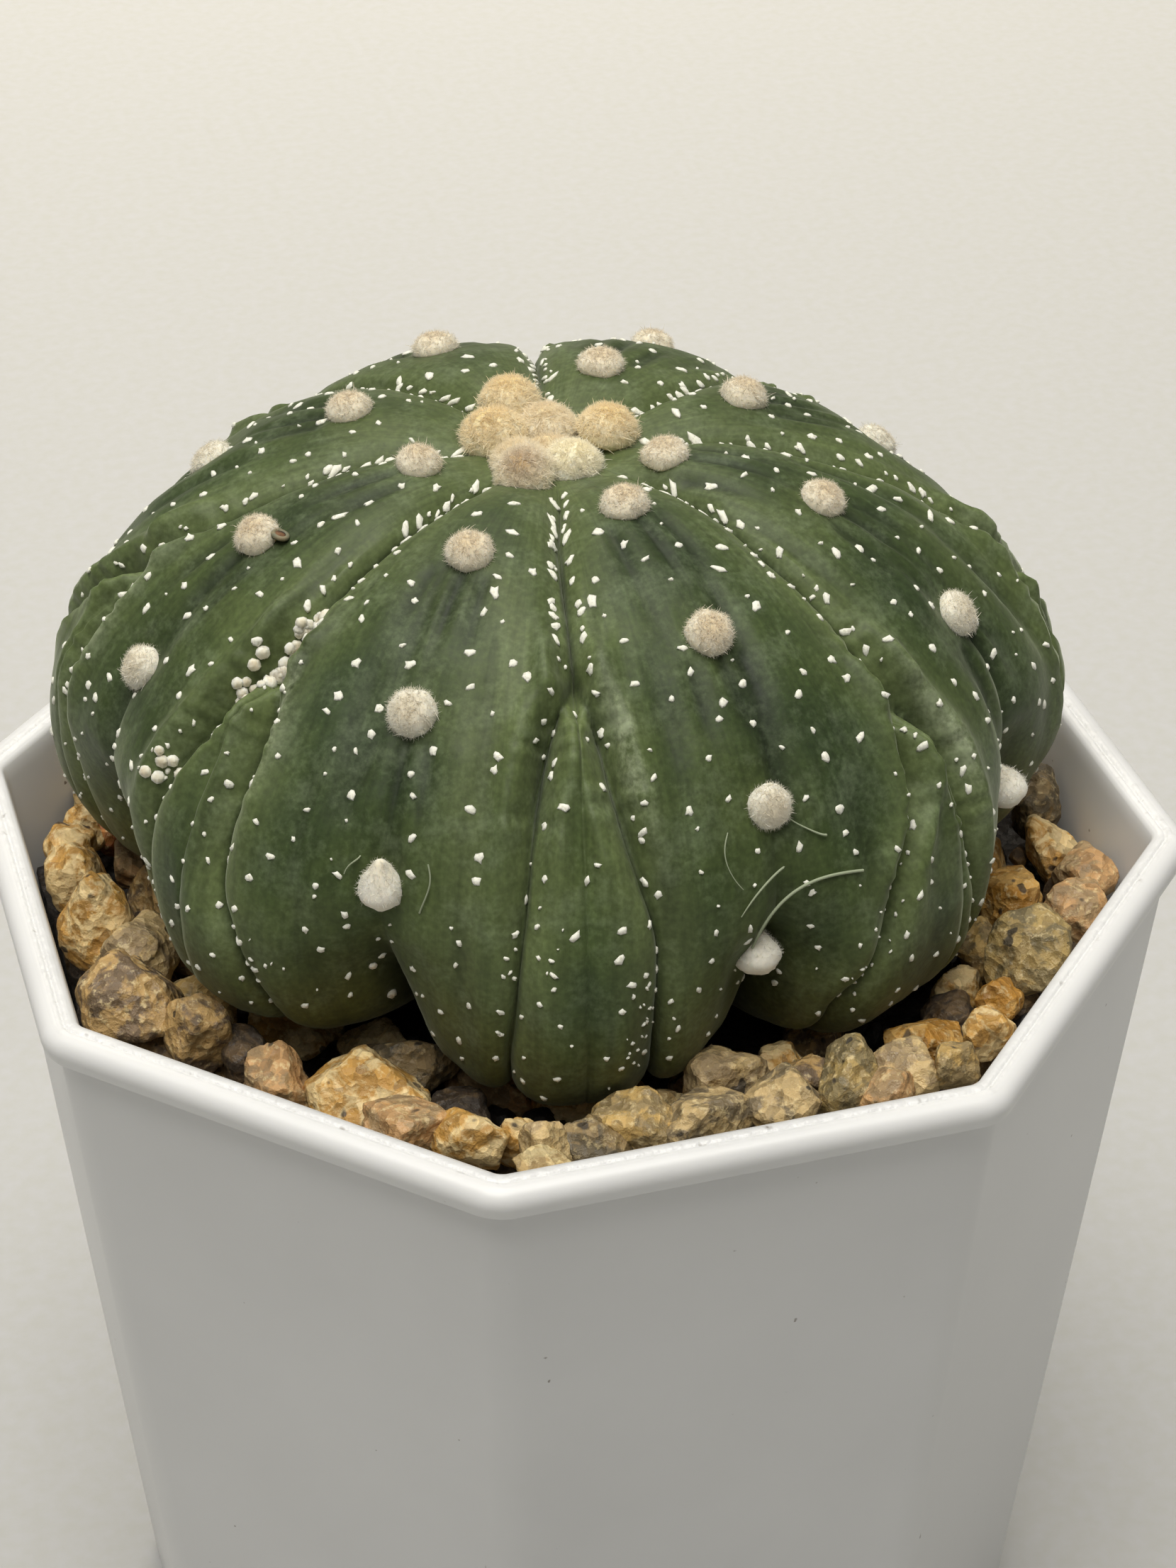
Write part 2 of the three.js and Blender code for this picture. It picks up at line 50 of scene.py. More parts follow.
# Driving dimensions, shared with the solids
RIM_ACROSS_FLATS = 80
POT_HEIGHT = 76
WALL_TAPER = 0.093  # inward lean for each millimetre down
WALL_THICKNESS = 1.7
FLOOR_THICKNESS = 2
BEAD_OVERHANG = 0.9
DRAIN_HOLE_RADIUS = 2.5
DRAIN_CIRCLE_RADIUS = 18
GAP = 0.3
SOIL_DEPTH = 14
GRAVEL_BED_DEPTH = 8.6
PLANT_X = -0.5
PLANT_Y = 3

# Each rib's azimuth in degrees, and how far its areoles lie from the crown along the skin
RIBS = [
    (-126, [15.2, 27.2, 39]),
    (-79, [10.6, 22.5, 34.2, 47]),
    (-32, [8, 19, 31, 44.6]),
    (11, [15, 27.8, 39]),
    (55, [11, 24, 35, 45]),
    (101, [18, 30, 41]),
    (145, [14.5, 26.5, 38]),
    (187, [9.5, 21.3, 33, 45]),
]
LOBE_COUNT = len(RIBS)

# The lobe between each rib and the next. main gives the run of the crease down its middle, and
# left and right those of its branches past the fork, as distances from the crown and shares of
# the half lobe. clefts gives the share over which the cleft opens on each side. swell rounds out
# the lobe's shoulder, and reach and drop move its foot outward and down. The key for a pale fold,
# on the first lobe, gives the strength of painted light on the lit side of the fold left of the
# crease.
LOBES = [
    dict(main=[(6, 0.08), (11.4, -0.05), (18.3, -0.02), (23.6, 0.01)],
         left=[(27.5, -0.16), (32.4, -0.24), (39.2, -0.28), (50.3, -0.36)],
         right=[(27, 0.12), (33.4, 0.21), (40.7, 0.35), (50.2, 0.34)],
         clefts=(0.3, 0.34), swell=0.2, reach=0.1, drop=0.9, painted_lit_fold=1),
    dict(main=[(10.6, 0.26), (17.3, 0.06), (30, 0.07)],
         left=[(34.6, -0.05), (37.2, -0.1), (41.8, -0.38), (46.3, -0.5), (50.1, -0.7)],
         right=[(35.9, 0.2), (43.2, 0.18), (52, 0.26)],
         clefts=(0.13, 0.26), swell=0.2, reach=-0.2, drop=0.3),
    dict(main=[(9.7, 0.08), (22.5, 0.04), (27.8, 0.13), (33, 0.04)],
         left=[(40, -0.2), (52, -0.36)], right=[(40, 0.24), (52, 0.4)],
         clefts=(0.25, 0.3), swell=1.2, reach=0.6, drop=-0.8),
    dict(main=[(9.5, -0.32), (13.9, -0.22), (23.7, 0.09), (30, 0.05)],
         left=[(37, -0.22), (50, -0.4)], right=[(37, 0.24), (50, 0.34)],
         clefts=(0.3, 0.25), swell=0.1, reach=0, drop=-0.6),
    dict(main=[(11, -0.03), (16.9, -0.04), (28, 0)],
         left=[(35, -0.22), (50, -0.44)], right=[(35, 0.2), (50, 0.4)],
         clefts=(0.3, 0.2), swell=0, reach=-1, drop=-0.2),
    dict(main=[(9, -0.28), (14.3, -0.18), (20, -0.17), (31, -0.05)],
         left=[(38, -0.26), (52, -0.32)], right=[(38, 0.14), (52, 0.42)],
         clefts=(0.2, 0.3), swell=0.3, reach=-0.8, drop=-0.8),
    dict(main=[(8, 0.05), (10.8, 0.11), (17.5, 0.29), (27, 0.25)],
         left=[(33, 0.02), (38, -0.18), (50, -0.4)], right=[(34, 0.38), (50, 0.42)],
         clefts=(0.3, 0.3), swell=1.2, reach=-0.4, drop=-1.1),
    dict(main=[(7.2, 0.04), (15.4, 0), (24.5, -0.06)],
         left=[(27.8, -0.15), (35.5, -0.32), (38.8, -0.36), (50, -0.44)],
         right=[(28.3, -0.01), (32.9, 0.12), (42.5, 0.17), (46.6, 0.29), (52.6, 0.41)],
         clefts=(0.34, 0.22), swell=0.3, reach=-0.1, drop=-1.3),
]

# Outline from the crown to the middle of the underside, as distance from the plant's axis and
# height above the rim: over the lobes, and down the clefts under the areoles
LOBE_OUTLINE = np.array([
    (0, 24.8), (5, 26.3), (10.5, 27.2), (16.1, 26.3), (21.5, 23.9), (26.3, 20.1), (30.3, 15.3),
    (33.1, 10), (34.4, 4.8), (34, 0.3), (31.8, -3.2), (27, -5), (19, -5.8), (10, -6.2), (0, -6.2),
])
CLEFT_OUTLINE = np.array([
    (0, 24.8), (5, 26.3), (10.5, 27.2), (16.1, 26.3), (21.5, 23.9), (26.3, 20.1), (30, 15.2),
    (31.4, 10), (30.2, 6.2), (27.8, 3.4), (25, 0.6), (21.5, -2), (16, -4.6), (9.5, -6), (0, -6.2),
])

# Tufts of the crown: azimuth, distance from the axis, radius, outward lean in degrees, and tone
CROWN_TUFTS = [
    (0, 0, 2.1, 0, "pale gold"),
    (-130, 4.1, 2.1, 28, "pinkish"),
    (-66, 2.2, 2.1, 12, "cream"),
    (11, 4.3, 2.15, 12, "golden"),
    (79, 2.9, 2.2, 0, "pale gold"),
    (101, 6, 2.1, 8, "golden"),
    (145, 4, 2.35, 12, "golden"),
    (205, 2.8, 2, 15, "pale gold"),
]

# Stones seen round the plant: azimuth, distance from the pot's axis, height above the rim,
# width, height and the stone's tone
SEEN_STONES = [
    (147, 36.2, -6, 4.2, 4, "cream"), (155, 35.4, -6.4, 3.4, 3.4, "gold"),
    (153, 33, -7, 3.6, 3.2, "rust"), (162, 35.4, -5.2, 3.8, 4, "gold"),
    (167, 34.6, -5, 4.8, 4.8, "gold"), (163, 31, -6, 3.6, 3.8, "pink"),
    (179, 33.4, -4, 6, 6.2, "gold"), (-172, 32, -3.8, 6, 5.2, "buff"),
    (-162, 34.6, -3, 7.2, 5, "brown"), (-154, 33.4, -3.2, 4.6, 5, "brown"),
    (-149, 31.6, -4.8, 4, 3.6, "dark"), (-141, 33.6, -3, 5, 4, "pink"),
    (-130, 25.6, -5.4, 5.4, 4.2, "grey"), (-130, 31.4, -3.2, 7, 5, "gold"),
    (-124, 35.2, -2.4, 5.6, 3.4, "pink"), (-121, 28.4, -6.2, 4, 3.4, "dark"),
    (-116, 34.8, -2.8, 4.6, 4.2, "gold"), (-112, 32.6, -4, 3, 3.4, "gold"),
    (-109, 35.2, -2.6, 3.6, 3.8, "buff"), (-104, 34.4, -2.8, 3.8, 3.8, "grey"),
    (-99, 33.2, -2.8, 5.2, 4.4, "tan"), (-109, 37.2, -2, 3.2, 2.4, "cream"),
    (-92, 33.4, -2.8, 5.6, 4, "quartz"), (-86, 29.2, -3.8, 5.4, 5, "buff"),
    (-77, 27.6, -5.2, 3.4, 3.2, "gold"), (-76, 30.4, -4, 3.2, 3, "brown"),
    (-82, 33.4, -2.6, 4.6, 3.8, "quartz"), (-74, 33.6, -2.6, 5, 4.8, "olive"),
    (-68, 34.8, -2.8, 4.4, 3.4, "buff"), (-72, 36, -2.2, 4, 2.6, "pink"),
    (-64, 36.6, -2.4, 3.4, 3.2, "tan"), (-57, 36, -2.8, 3.6, 3.6, "gold"),
    (-59, 31.8, -5, 5.6, 3.4, "ochre"), (-51, 30.6, -6, 4.2, 3.2, "dark"),
    (-48, 33.4, -5, 3.4, 3.8, "ochre"), (-41, 34, -2.9, 5.8, 6.6, "olive"),
    (-26, 31.6, -5.2, 5, 4.6, "ochre"), (-30, 35.4, -3.8, 4.8, 4.6, "pink"),
    (-37, 30.2, -5.6, 4, 4, "tan"), (-45, 30, -6.4, 3.6, 4, "gold"),
    (-4, 34.8, -5.6, 4.6, 4.8, "grey"), (-12, 34.6, -6.2, 4.6, 4.4, "gold"),
]
STONE_SEED = 71
STONE_CLEARANCE = 3.8  # least distance of any other stone from a seen one
# Rings of other stones: distance of their centres from the axis towards a flat, height, spacing
STONE_RINGS = [(34, -5.6, 6), (28.5, -7, 6.8), (23, -7.8, 7.6)]

FLECK_SEED = 23
FLECK_ROW_SPACING = 2.1
FLECK_SPACING = 3.4


def colour(hex_value):
    """Turns an sRGB hex value to a linear colour."""
    channels = [int(hex_value[i:i + 2], 16) / 255 for i in (1, 3, 5)]
    linear = [c / 12.92 if c <= 0.04045 else ((c + 0.055) / 1.055) ** 2.4 for c in channels]
    return (*linear, 1)


def make_random(seed):
    """The same run of random numbers that places the solids' flecks and stones."""
    word = 0xFFFFFFFF
    state = seed

    def draw():
        nonlocal state
        state = (state + 0x6D2B79F5) & word
        mixed = ((state ^ (state >> 15)) * (1 | state)) & word
        mixed ^= (mixed + (mixed ^ (mixed >> 7)) * (61 | mixed)) & word
        return ((mixed ^ (mixed >> 14)) & word) / (word + 1)

    return draw


# Curves of one value: these fade the features in and out, mostly by distance from the crown

def smoothstep(start, end, value):
    """Rises smoothly from 0 at start to 1 at end."""
    share = np.clip((np.asarray(value, float) - start) / (end - start), 0, 1)
    return share * share * (3 - 2 * share)


def between(value, start, full, waning, end):
    """Rises from 0 at start to 1 at full, and falls from 1 at waning to 0 at end."""
    return smoothstep(start, full, value) * (1 - smoothstep(waning, end, value))


def bell(value, width, middle=0):
    """1 at the middle, fading on both sides over about that width."""
    return np.exp(-((value - middle) / width) ** 2)


# Modelling helpers

def pick(*pieces):
    """Selects these pieces alone, the first of them active."""
    bpy.ops.object.select_all(action="DESELECT")
    for piece in pieces:
        piece.select_set(True)
    bpy.context.view_layer.objects.active = pieces[0]


def start_editing():
    """Opens the active piece in edit mode, all of it selected."""
    bpy.ops.object.mode_set(mode="EDIT")
    bpy.ops.mesh.select_all(action="SELECT")


def end_editing():
    """Turns every face outward and closes edit mode."""
    bpy.ops.mesh.select_all(action="SELECT")
    bpy.ops.mesh.normals_make_consistent(inside=False)
    bpy.ops.object.mode_set(mode="OBJECT")


def extrude(move, widen, middle):
    """Extrudes the selected outline by a move, then widens it about its middle."""
    bpy.ops.mesh.extrude_region_move(TRANSFORM_OT_translate={"value": move})
    bpy.ops.transform.resize(value=(widen, widen, 1), center_override=middle)


def draw_up(rings, x=0, y=0):
    """Extrudes the selected outline through rings, each given by its size and height."""
    for (size, level), (wide, height) in zip(rings, rings[1:]):
        extrude((0, 0, height - level), wide / size, (x, y, height))


def apply_modifier(piece, kind, **settings):
    modifier = piece.modifiers.new(kind.title(), kind)
    for name, value in settings.items():
        setattr(modifier, name, value)
    pick(piece)
    bpy.ops.object.modifier_apply(modifier=modifier.name)


def clouds(name, size):
    """A soft noise for displacing a surface, with lumps of that size in millimetres."""
    texture = bpy.data.textures.new(name, "CLOUDS")
    texture.noise_scale = size
    texture.noise_depth = 2
    return texture


def copy_of(template, matrix, **values):
    """A copy with a mesh of its own, put in place, and painted with an attribute for each value."""
    mesh = template.data.copy()
    mesh.transform(matrix)
    for name, value in values.items():
        paint(mesh, name, value)
    twin = bpy.data.objects.new(template.name, mesh)
    bpy.context.collection.objects.link(twin)
    return twin


def paint(mesh, name, value):
    """Gives the mesh's points a number or a colour each, or the same one for all."""
    count = len(mesh.vertices)
    value = np.asarray(value, np.float32)
    is_colour = value.shape in ((4,), (count, 4))
    kind, field = ("FLOAT_COLOR", "color") if is_colour else ("FLOAT", "value")
    attribute = mesh.attributes.new(name, kind, "POINT")
    shape = (count, 4) if is_colour else (count,)
    attribute.data.foreach_set(field, np.broadcast_to(value, shape).astype(np.float32).ravel())


def join(pieces):
    pick(*pieces)
    bpy.ops.object.join()
    return pieces[0]


def discard(pieces):
    for piece in pieces:
        bpy.data.objects.remove(piece)


def settle(piece, name, material, slot, *nodes):
    """Brings a finished piece to metres and to the origin, and enters it in the frame."""
    pick(piece)
    bpy.ops.object.transform_apply(location=True, rotation=True, scale=True)
    piece.data.transform(Matrix.Scale(MM, 4))
    piece.name = piece.data.name = name
    piece.data.materials.clear()
    piece.data.materials.append(material)
    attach(piece, "root")
    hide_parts(*nodes)


# Materials

# Sockets of a colour Mix node, whose names are shared by its other kinds
FACTOR, FIRST, SECOND = 0, 6, 7
MIX = dict(data_type="RGBA", output=2)
MULTIPLY = dict(MIX, blend_type="MULTIPLY")


def new_material(name):
    """Starts a material: how to add a node and how to complete it, and each point's place."""
    material = bpy.data.materials.new(name)
    material.use_nodes = True
    tree = material.node_tree

    def connect(node, inputs):
        """Gives a node's inputs their values, or their links where they are sockets."""
        for name, value in inputs.items():
            socket = node.inputs[name]
            if isinstance(value, bpy.types.NodeSocket):
                tree.links.new(value, socket)
            else:
                socket.default_value = value

    def add(kind, inputs=None, output=0, stops=(), **settings):
        """Adds a node with its settings, inputs and ramp stops, and gives one of its outputs."""
        node = tree.nodes.new("ShaderNode" + kind)
        for name, value in settings.items():
            setattr(node, name, value)
        connect(node, inputs or {})
        for index, (position, shade) in enumerate(stops):
            ramp = node.color_ramp.elements
            stop = ramp[index] if index < len(ramp) else ramp.new(1)
            stop.position = position
            stop.color = colour(shade)
        return node.outputs[output]

    def complete(inputs):
        """Sets the shader and gives the material."""
        connect(tree.nodes["Principled BSDF"], inputs)
        return material

    return add, complete, add("TexCoord", output="Object")


def per_metre(size):
    """The scale of a pattern whose features are that many millimetres wide."""
    return 1 / (size * MM)


def skin_material():
    """Waxy living cactus skin: deep green, paler beside the folds and olive at the foot. Painted
    shade darkens its creases, clefts and furrows, and painted light makes a highlight on the lips
    by the forks, a pale band on one fold, and a lighter foot.

    A thin wax gives the soft broad highlights along the folds, and the tissue beneath lets a
    little light through. The cells are drawn several times coarser than real ones, to show.
    """
    add, complete, place = new_material("waxy_cactus_skin")
    dark, beside_fold, foot, lip_highlight, round_it, down_it = (
        add("Attribute", output="Fac", attribute_name=name)
        for name in ("dark", "beside_fold", "foot", "lip_highlight", "round_it", "down_it"))

    patches = add("TexNoise", {"Vector": place, "Scale": per_metre(9), "Detail": 3})
    bloom = add("TexNoise", {
        "Vector": place, "Scale": per_metre(3.2), "Detail": 6, "Roughness": 0.7})
    hazy = add("MapRange", {"Value": bloom, "From Min": 0.48, "From Max": 0.78, "To Max": 0.35})
    # Painted highlight: a pale band along the lip right of each fork's right branch, broken up by
    # the bloom
    highlight_breakup = add("MapRange", {"Value": bloom, "From Min": 0.36, "From Max": 0.56, "To Max": 0.75})
    painted_highlight = add("Math", {0: highlight_breakup, 1: lip_highlight}, operation="MULTIPLY")
    skin = add("ValToRGB", {"Fac": patches}, stops=[
        (0.35, "#364427"), (0.5, "#42502b"), (0.66, "#525f35")])
    # Mixed in turn: paler skin beside the folds, with painted light on one; olive at the foot,
    # painted lighter too; painted shade in the creases, clefts and furrows, with darker tone on the
    # shoulders; pale wax bloom; and the painted highlight on the lips
    for share, shade in ((beside_fold, "#606c43"), (foot, "#585a2c"), (dark, "#222b1b"),
                         (hazy, "#7f8b70"), (painted_highlight, "#a1aa8c")):
        skin = add("Mix", {FACTOR: share, FIRST: skin, SECOND: colour(shade)}, **MIX)

    strip = add("CombineXYZ", {"X": round_it, "Y": down_it})
    drawn_out = add("Mapping", {"Vector": strip, "Scale": (1.6, 0.16, 1)})
    streaks = add("TexNoise", {"Vector": drawn_out, "Scale": 1, "Detail": 3, "Roughness": 0.6})
    cells = add("TexNoise", {"Vector": place, "Scale": per_metre(0.4), "Detail": 3})
    for pattern, lightest in ((streaks, 1.18), (cells, 1.2)):
        light = add("MapRange", {"Value": pattern, "From Min": 0.3, "From Max": 0.7,
                                 "To Min": 0.82, "To Max": lightest})
        skin = add("Mix", {FACTOR: 1, FIRST: skin, SECOND: light}, **MULTIPLY)

    wax = add("MapRange", {"Value": bloom, "From Min": 0.3, "From Max": 0.7,
                           "To Min": 0.48, "To Max": 0.66})
    dents = add("TexNoise", {"Vector": place, "Scale": per_metre(1.4), "Detail": 3})
    dented = add("Bump", {"Height": dents, "Strength": 0.4, "Distance": 0.15 * MM})
    pored = add("Bump", {
        "Height": cells, "Strength": 0.3, "Distance": 0.05 * MM, "Normal": dented})
    return complete({
        "Base Color": skin, "Roughness": wax, "Normal": pored, "IOR": 1.42,
        "Specular IOR Level": 0.28, "Coat Weight": 0.05, "Coat Roughness": 0.35,
        "Subsurface Weight": 0.1, "Subsurface Radius": (0.5, 1, 0.25),
        "Subsurface Scale": 1.2 * MM, "Sheen Weight": 0.3, "Sheen Roughness": 0.35,
        "Sheen Tint": colour("#cfd6bd"),
    })


def felt_material():
    """White felt of the flecks: dense short hairs that scatter nearly all the light.

    The hairs are drawn coarser than real ones, to show.
    """
    add, complete, place = new_material("white_fleck_felt")
    hairs = add("TexNoise", {"Vector": place, "Scale": per_metre(0.18), "Detail": 3})
    tone = add("ValToRGB", {"Fac": hairs}, stops=[(0.25, "#c9c7b4"), (0.5, "#e9e8da")])
    bump = add("Bump", {"Height": hairs, "Strength": 0.5, "Distance": 0.05 * MM})
    return complete({
        "Base Color": tone, "Normal": bump, "Roughness": 0.9, "Sheen Weight": 0.3,
        "Subsurface Weight": 0.2, "Subsurface Radius": (1, 1, 0.8),
        "Subsurface Scale": 0.2 * MM,
    })


def wool_material():
    """Areole wool: matted plant hair, tan in the middle of a tuft and pale at its fringe."""
    add, complete, place = new_material("matted_areole_wool")
    heart = add("Attribute", attribute_name="heart")
    fringe = add("Attribute", attribute_name="fringe")
    rim = add("Attribute", output="Fac", attribute_name="rim")
    body = add("Mix", {FACTOR: rim, FIRST: heart, SECOND: fringe}, **MIX)
    strands = add("TexNoise", {
        "Vector": place, "Scale": per_metre(0.3), "Detail": 4, "Roughness": 0.6})
    depth = add("MapRange", {"Value": strands, "From Min": 0.3, "From Max": 0.65,
                             "To Min": 0.92, "To Max": 1.04})
    finish = add("Mix", {FACTOR: 1, FIRST: body, SECOND: depth}, **MULTIPLY)
    bump = add("Bump", {"Height": strands, "Strength": 0.25, "Distance": 0.06 * MM})
    return complete({
        "Base Color": finish, "Normal": bump, "Roughness": 0.95, "Subsurface Weight": 0.5,
        "Subsurface Radius": (1, 0.85, 0.65), "Subsurface Scale": 0.7 * MM,
        "Sheen Weight": 0.15, "Sheen Roughness": 0.5,
    })


def stone_material():
    """Crushed golden gravel: weathered quartz and feldspar grains, matte with a little glint."""
    add, complete, place = new_material("crushed_golden_gravel")
    main = add("Attribute", attribute_name="tone")
    crust = add("Attribute", attribute_name="vein")
    patches = add("TexNoise", {"Vector": place, "Scale": per_metre(2.2), "Detail": 4,
                               "Roughness": 0.6, "Distortion": 0.6})
    crusted = add("MapRange", {"Value": patches, "From Min": 0.46, "From Max": 0.54})
    stone = add("Mix", {FACTOR: crusted, FIRST: main, SECOND: crust}, **MIX)

    grain_edges = add("TexVoronoi", {"Vector": place, "Scale": per_metre(0.7)})
    grain_red = add("SeparateColor", {"Color": grain_edges.node.outputs["Color"]})
    grain_green = grain_red.node.outputs["Green"]
    grain_light = add("MapRange", {"Value": grain_red, "To Min": 0.72, "To Max": 1.25})
    stone = add("Mix", {FACTOR: 1, FIRST: stone, SECOND: grain_light}, **MULTIPLY)

    crystals = add("TexNoise", {
        "Vector": place, "Scale": per_metre(0.6), "Detail": 4, "Roughness": 0.65})
    sugar = add("MapRange", {"Value": crystals, "From Min": 0.55, "From Max": 0.66, "To Max": 0.6})
    main_red = add("SeparateColor", {"Color": main})
    pale_stone = add("MapRange", {"Value": main_red, "From Min": 0.04, "From Max": 0.16})
    facets = add("Math", {0: sugar, 1: pale_stone}, operation="MULTIPLY")
    stone = add("Mix", {FACTOR: facets, FIRST: stone, SECOND: colour("#e3cd9b")}, **MIX)

    mica = add("TexNoise", {"Vector": place, "Scale": per_metre(1.3), "Detail": 1})
    black = add("MapRange", {"Value": mica, "From Min": 0.7, "From Max": 0.74, "To Max": 0.85})
    stone = add("Mix", {FACTOR: black, FIRST: stone, SECOND: colour("#262320")}, **MIX)

    relief = add("Math", {0: crystals, 1: grain_edges}, operation="ADD")
    bump = add("Bump", {"Height": relief, "Strength": 0.8, "Distance": 0.32 * MM})
    rough = add("MapRange", {"Value": grain_green, "To Min": 0.42, "To Max": 0.85})
    return complete({
        "Base Color": stone, "Normal": bump, "Roughness": rough, "IOR": 1.54,
        "Subsurface Weight": 0.15, "Subsurface Radius": (1, 0.7, 0.35),
        "Subsurface Scale": 0.6 * MM,
    })


def mix_material():
    """Damp bark-and-peat potting mix: dark crumbs with paler fibres."""
    add, complete, place = new_material("damp_potting_mix")
    crumbs = add("TexVoronoi", {"Vector": place, "Scale": per_metre(1.8)})
    fibres = add("TexNoise", {
        "Vector": place, "Scale": per_metre(0.9), "Detail": 5, "Distortion": 1.5})
    mixed = add("Math", {0: crumbs, 1: fibres}, operation="MULTIPLY")
    tone = add("ValToRGB", {"Fac": mixed}, stops=[
        (0.08, "#4a3524"), (0.3, "#2a1e15"), (0.6, "#15100b")])
    bump = add("Bump", {"Height": mixed, "Strength": 1, "Distance": 0.8 * MM})
    return complete({"Base Color": tone, "Normal": bump, "Roughness": 0.85})


def pot_material():
    """White injection-moulded polypropylene: semi-gloss, faintly translucent, lightly soiled.

    The mould's flow leaves the walls faintly wavy, and the groove inside the rim holds grime.
    """
    add, complete, place = new_material("moulded_white_polypropylene")
    groove = add("Attribute", output="Fac", attribute_name="groove")
    cloud = add("TexNoise", {"Vector": place, "Scale": per_metre(14), "Detail": 3})
    resin = add("ValToRGB", {"Fac": cloud}, stops=[(0.3, "#dadad9"), (0.7, "#dfdfde")])
    specks = add("TexNoise", {"Vector": place, "Scale": per_metre(1.1), "Detail": 2})
    soiled = add("MapRange", {"Value": specks, "From Min": 0.77, "From Max": 0.8, "To Max": 0.8})
    grime = add("MapRange", {"Value": specks, "From Min": 0.64, "From Max": 0.74, "To Max": 0.6})
    groove_dirt = add("Math", {0: grime, 1: groove}, operation="MULTIPLY")
    dirt = add("Math", {0: soiled, 1: groove_dirt}, operation="MAXIMUM")
    finish = add("Mix", {FACTOR: dirt, FIRST: resin, SECOND: colour("#6d6254")}, **MIX)
    polish = add("MapRange", {"Value": cloud, "From Min": 0.3, "From Max": 0.7,
                              "To Min": 0.3, "To Max": 0.4})
    flow = add("TexNoise", {"Vector": place, "Scale": per_metre(7), "Detail": 2})
    waved = add("Bump", {"Height": flow, "Strength": 0.25, "Distance": 0.15 * MM})
    nicks = add("TexNoise", {"Vector": place, "Scale": per_metre(0.9), "Detail": 4})
    nicked = add("Math", {0: nicks, 1: groove}, operation="MULTIPLY")
    bump = add("Bump", {
        "Height": nicked, "Strength": 0.8, "Distance": 0.4 * MM, "Normal": waved})
    return complete({
        "Base Color": finish, "Normal": bump, "Roughness": polish, "IOR": 1.49,
        "Subsurface Weight": 0.2, "Subsurface Radius": (1, 1, 0.85),
        "Subsurface Scale": 2 * MM,
    })


def root_material():
    """Corky brown root bark, rough and matte."""
    add, complete, place = new_material("corky_root_bark")
    cork = add("TexNoise", {
        "Vector": place, "Scale": per_metre(1.5), "Detail": 5, "Distortion": 0.8})
    tone = add("ValToRGB", {"Fac": cork}, stops=[(0.3, "#4b3826"), (0.65, "#8a6e4e")])
    bump = add("Bump", {"Height": cork, "Strength": 0.8, "Distance": 0.4 * MM})
    return complete({"Base Color": tone, "Normal": bump, "Roughness": 0.9})


def straw_material():
    """Dried plant scraps and stray fibres: pale straw, brown where it has withered."""
    add, complete, place = new_material("dried_plant_scraps")
    withered = add("Attribute", output="Fac", attribute_name="withered")
    mottle = add("TexNoise", {"Vector": place, "Scale": per_metre(0.6), "Detail": 3})
    brown = add("ValToRGB", {"Fac": mottle}, stops=[(0.35, "#2d1c11"), (0.65, "#7a5433")])
    finish = add("Mix", {FACTOR: withered, FIRST: colour("#969f83"), SECOND: brown}, **MIX)
    return complete({"Base Color": finish, "Roughness": 0.7})


def floor_material():
    """Pale matt card under the pot."""
    add, complete, place = new_material("pale_matt_card")
    fibres = add("TexNoise", {"Vector": place, "Scale": per_metre(1.5), "Detail": 4})
    tone = add("ValToRGB", {"Fac": fibres}, stops=[(0.3, "#b6b6b2"), (0.7, "#bababa")])
    return complete({"Base Color": tone, "Roughness": 0.9})


# Pot

HALF_SIDE = math.radians(22.5)  # from the middle of one of the pot's flats to its corner
CORNER_RADII = (3.8, 2.8, 1)  # on the wall, the bead and the inner edge
BEAD_RADIUS = 1.1
BEAD_STEPS = 6
GROOVE_INWARD = 1.6  # where the groove in the lip runs, from the rim's outside
GROOVE_HALF_WIDTH = 0.35


def wall_outside(height):
    """How far the wall's outer face lies from the axis, square to a flat."""
    return RIM_ACROSS_FLATS / 2 - BEAD_OVERHANG - WALL_TAPER * (POT_HEIGHT - height)


def wall_inside(height):
    return wall_outside(height) - WALL_THICKNESS


def off_flat(azimuth):
    """Angle in radians from the middle of the nearest flat, for an azimuth in degrees."""
    return np.radians((azimuth + 360 + 22.5) % 45 - 22.5)


def around(turn, distance, height=0):
    """A place at a turn in radians from +X, and that far from the axis."""
    return Vector((distance * math.cos(turn), distance * math.sin(turn), height))


def pot_profile():
    """Distance of a flat from the axis and height: up the wall, over the rim and down inside."""
    rim = RIM_ACROSS_FLATS / 2
    profile = [
        (wall_outside(0), 0.5), (wall_outside(20), 20), (wall_outside(50), 50),
        (wall_outside(72), 72), (wall_outside(73.5) + 0.05, 73.5), (rim - 0.65, 73.82),
        (rim - 0.2, 74.05),
    ]
    for step in range(BEAD_STEPS + 1):
        turn = math.radians(-10 + 100 * step / BEAD_STEPS)
        profile.append((
            rim - BEAD_RADIUS + BEAD_RADIUS * math.cos(turn),
            POT_HEIGHT - BEAD_RADIUS + BEAD_RADIUS * math.sin(turn),
        ))
    lip = [(1.35, -0.05), (1.5, -0.2), (1.62, -0.22), (1.75, -0.08), (1.95, -0.03),
           (2.2, -0.08), (2.4, -0.22), (2.5, -0.45), (2.62, -0.9)]
    profile += [(rim - inward, POT_HEIGHT + rise) for inward, rise in lip]
    profile += [
        (wall_inside(height), height) for height in (74.4, 60, 40, 20, FLOOR_THICKNESS + 1.2)
    ]
    return profile + [(wall_inside(0) - 1, FLOOR_THICKNESS)]


def corner_radius(place):
    """The rounding of the pot's corners at a place on a corner's line."""
    wall, bead, inner = CORNER_RADII
    apothem = math.hypot(place.x, place.y) * math.cos(HALF_SIDE)
    if apothem < wall_outside(place.z) - 0.3:
        return inner
    if place.z < POT_HEIGHT - 2.3:
        return wall
    return bead + (inner - bead) * float(smoothstep(39, 38, apothem))


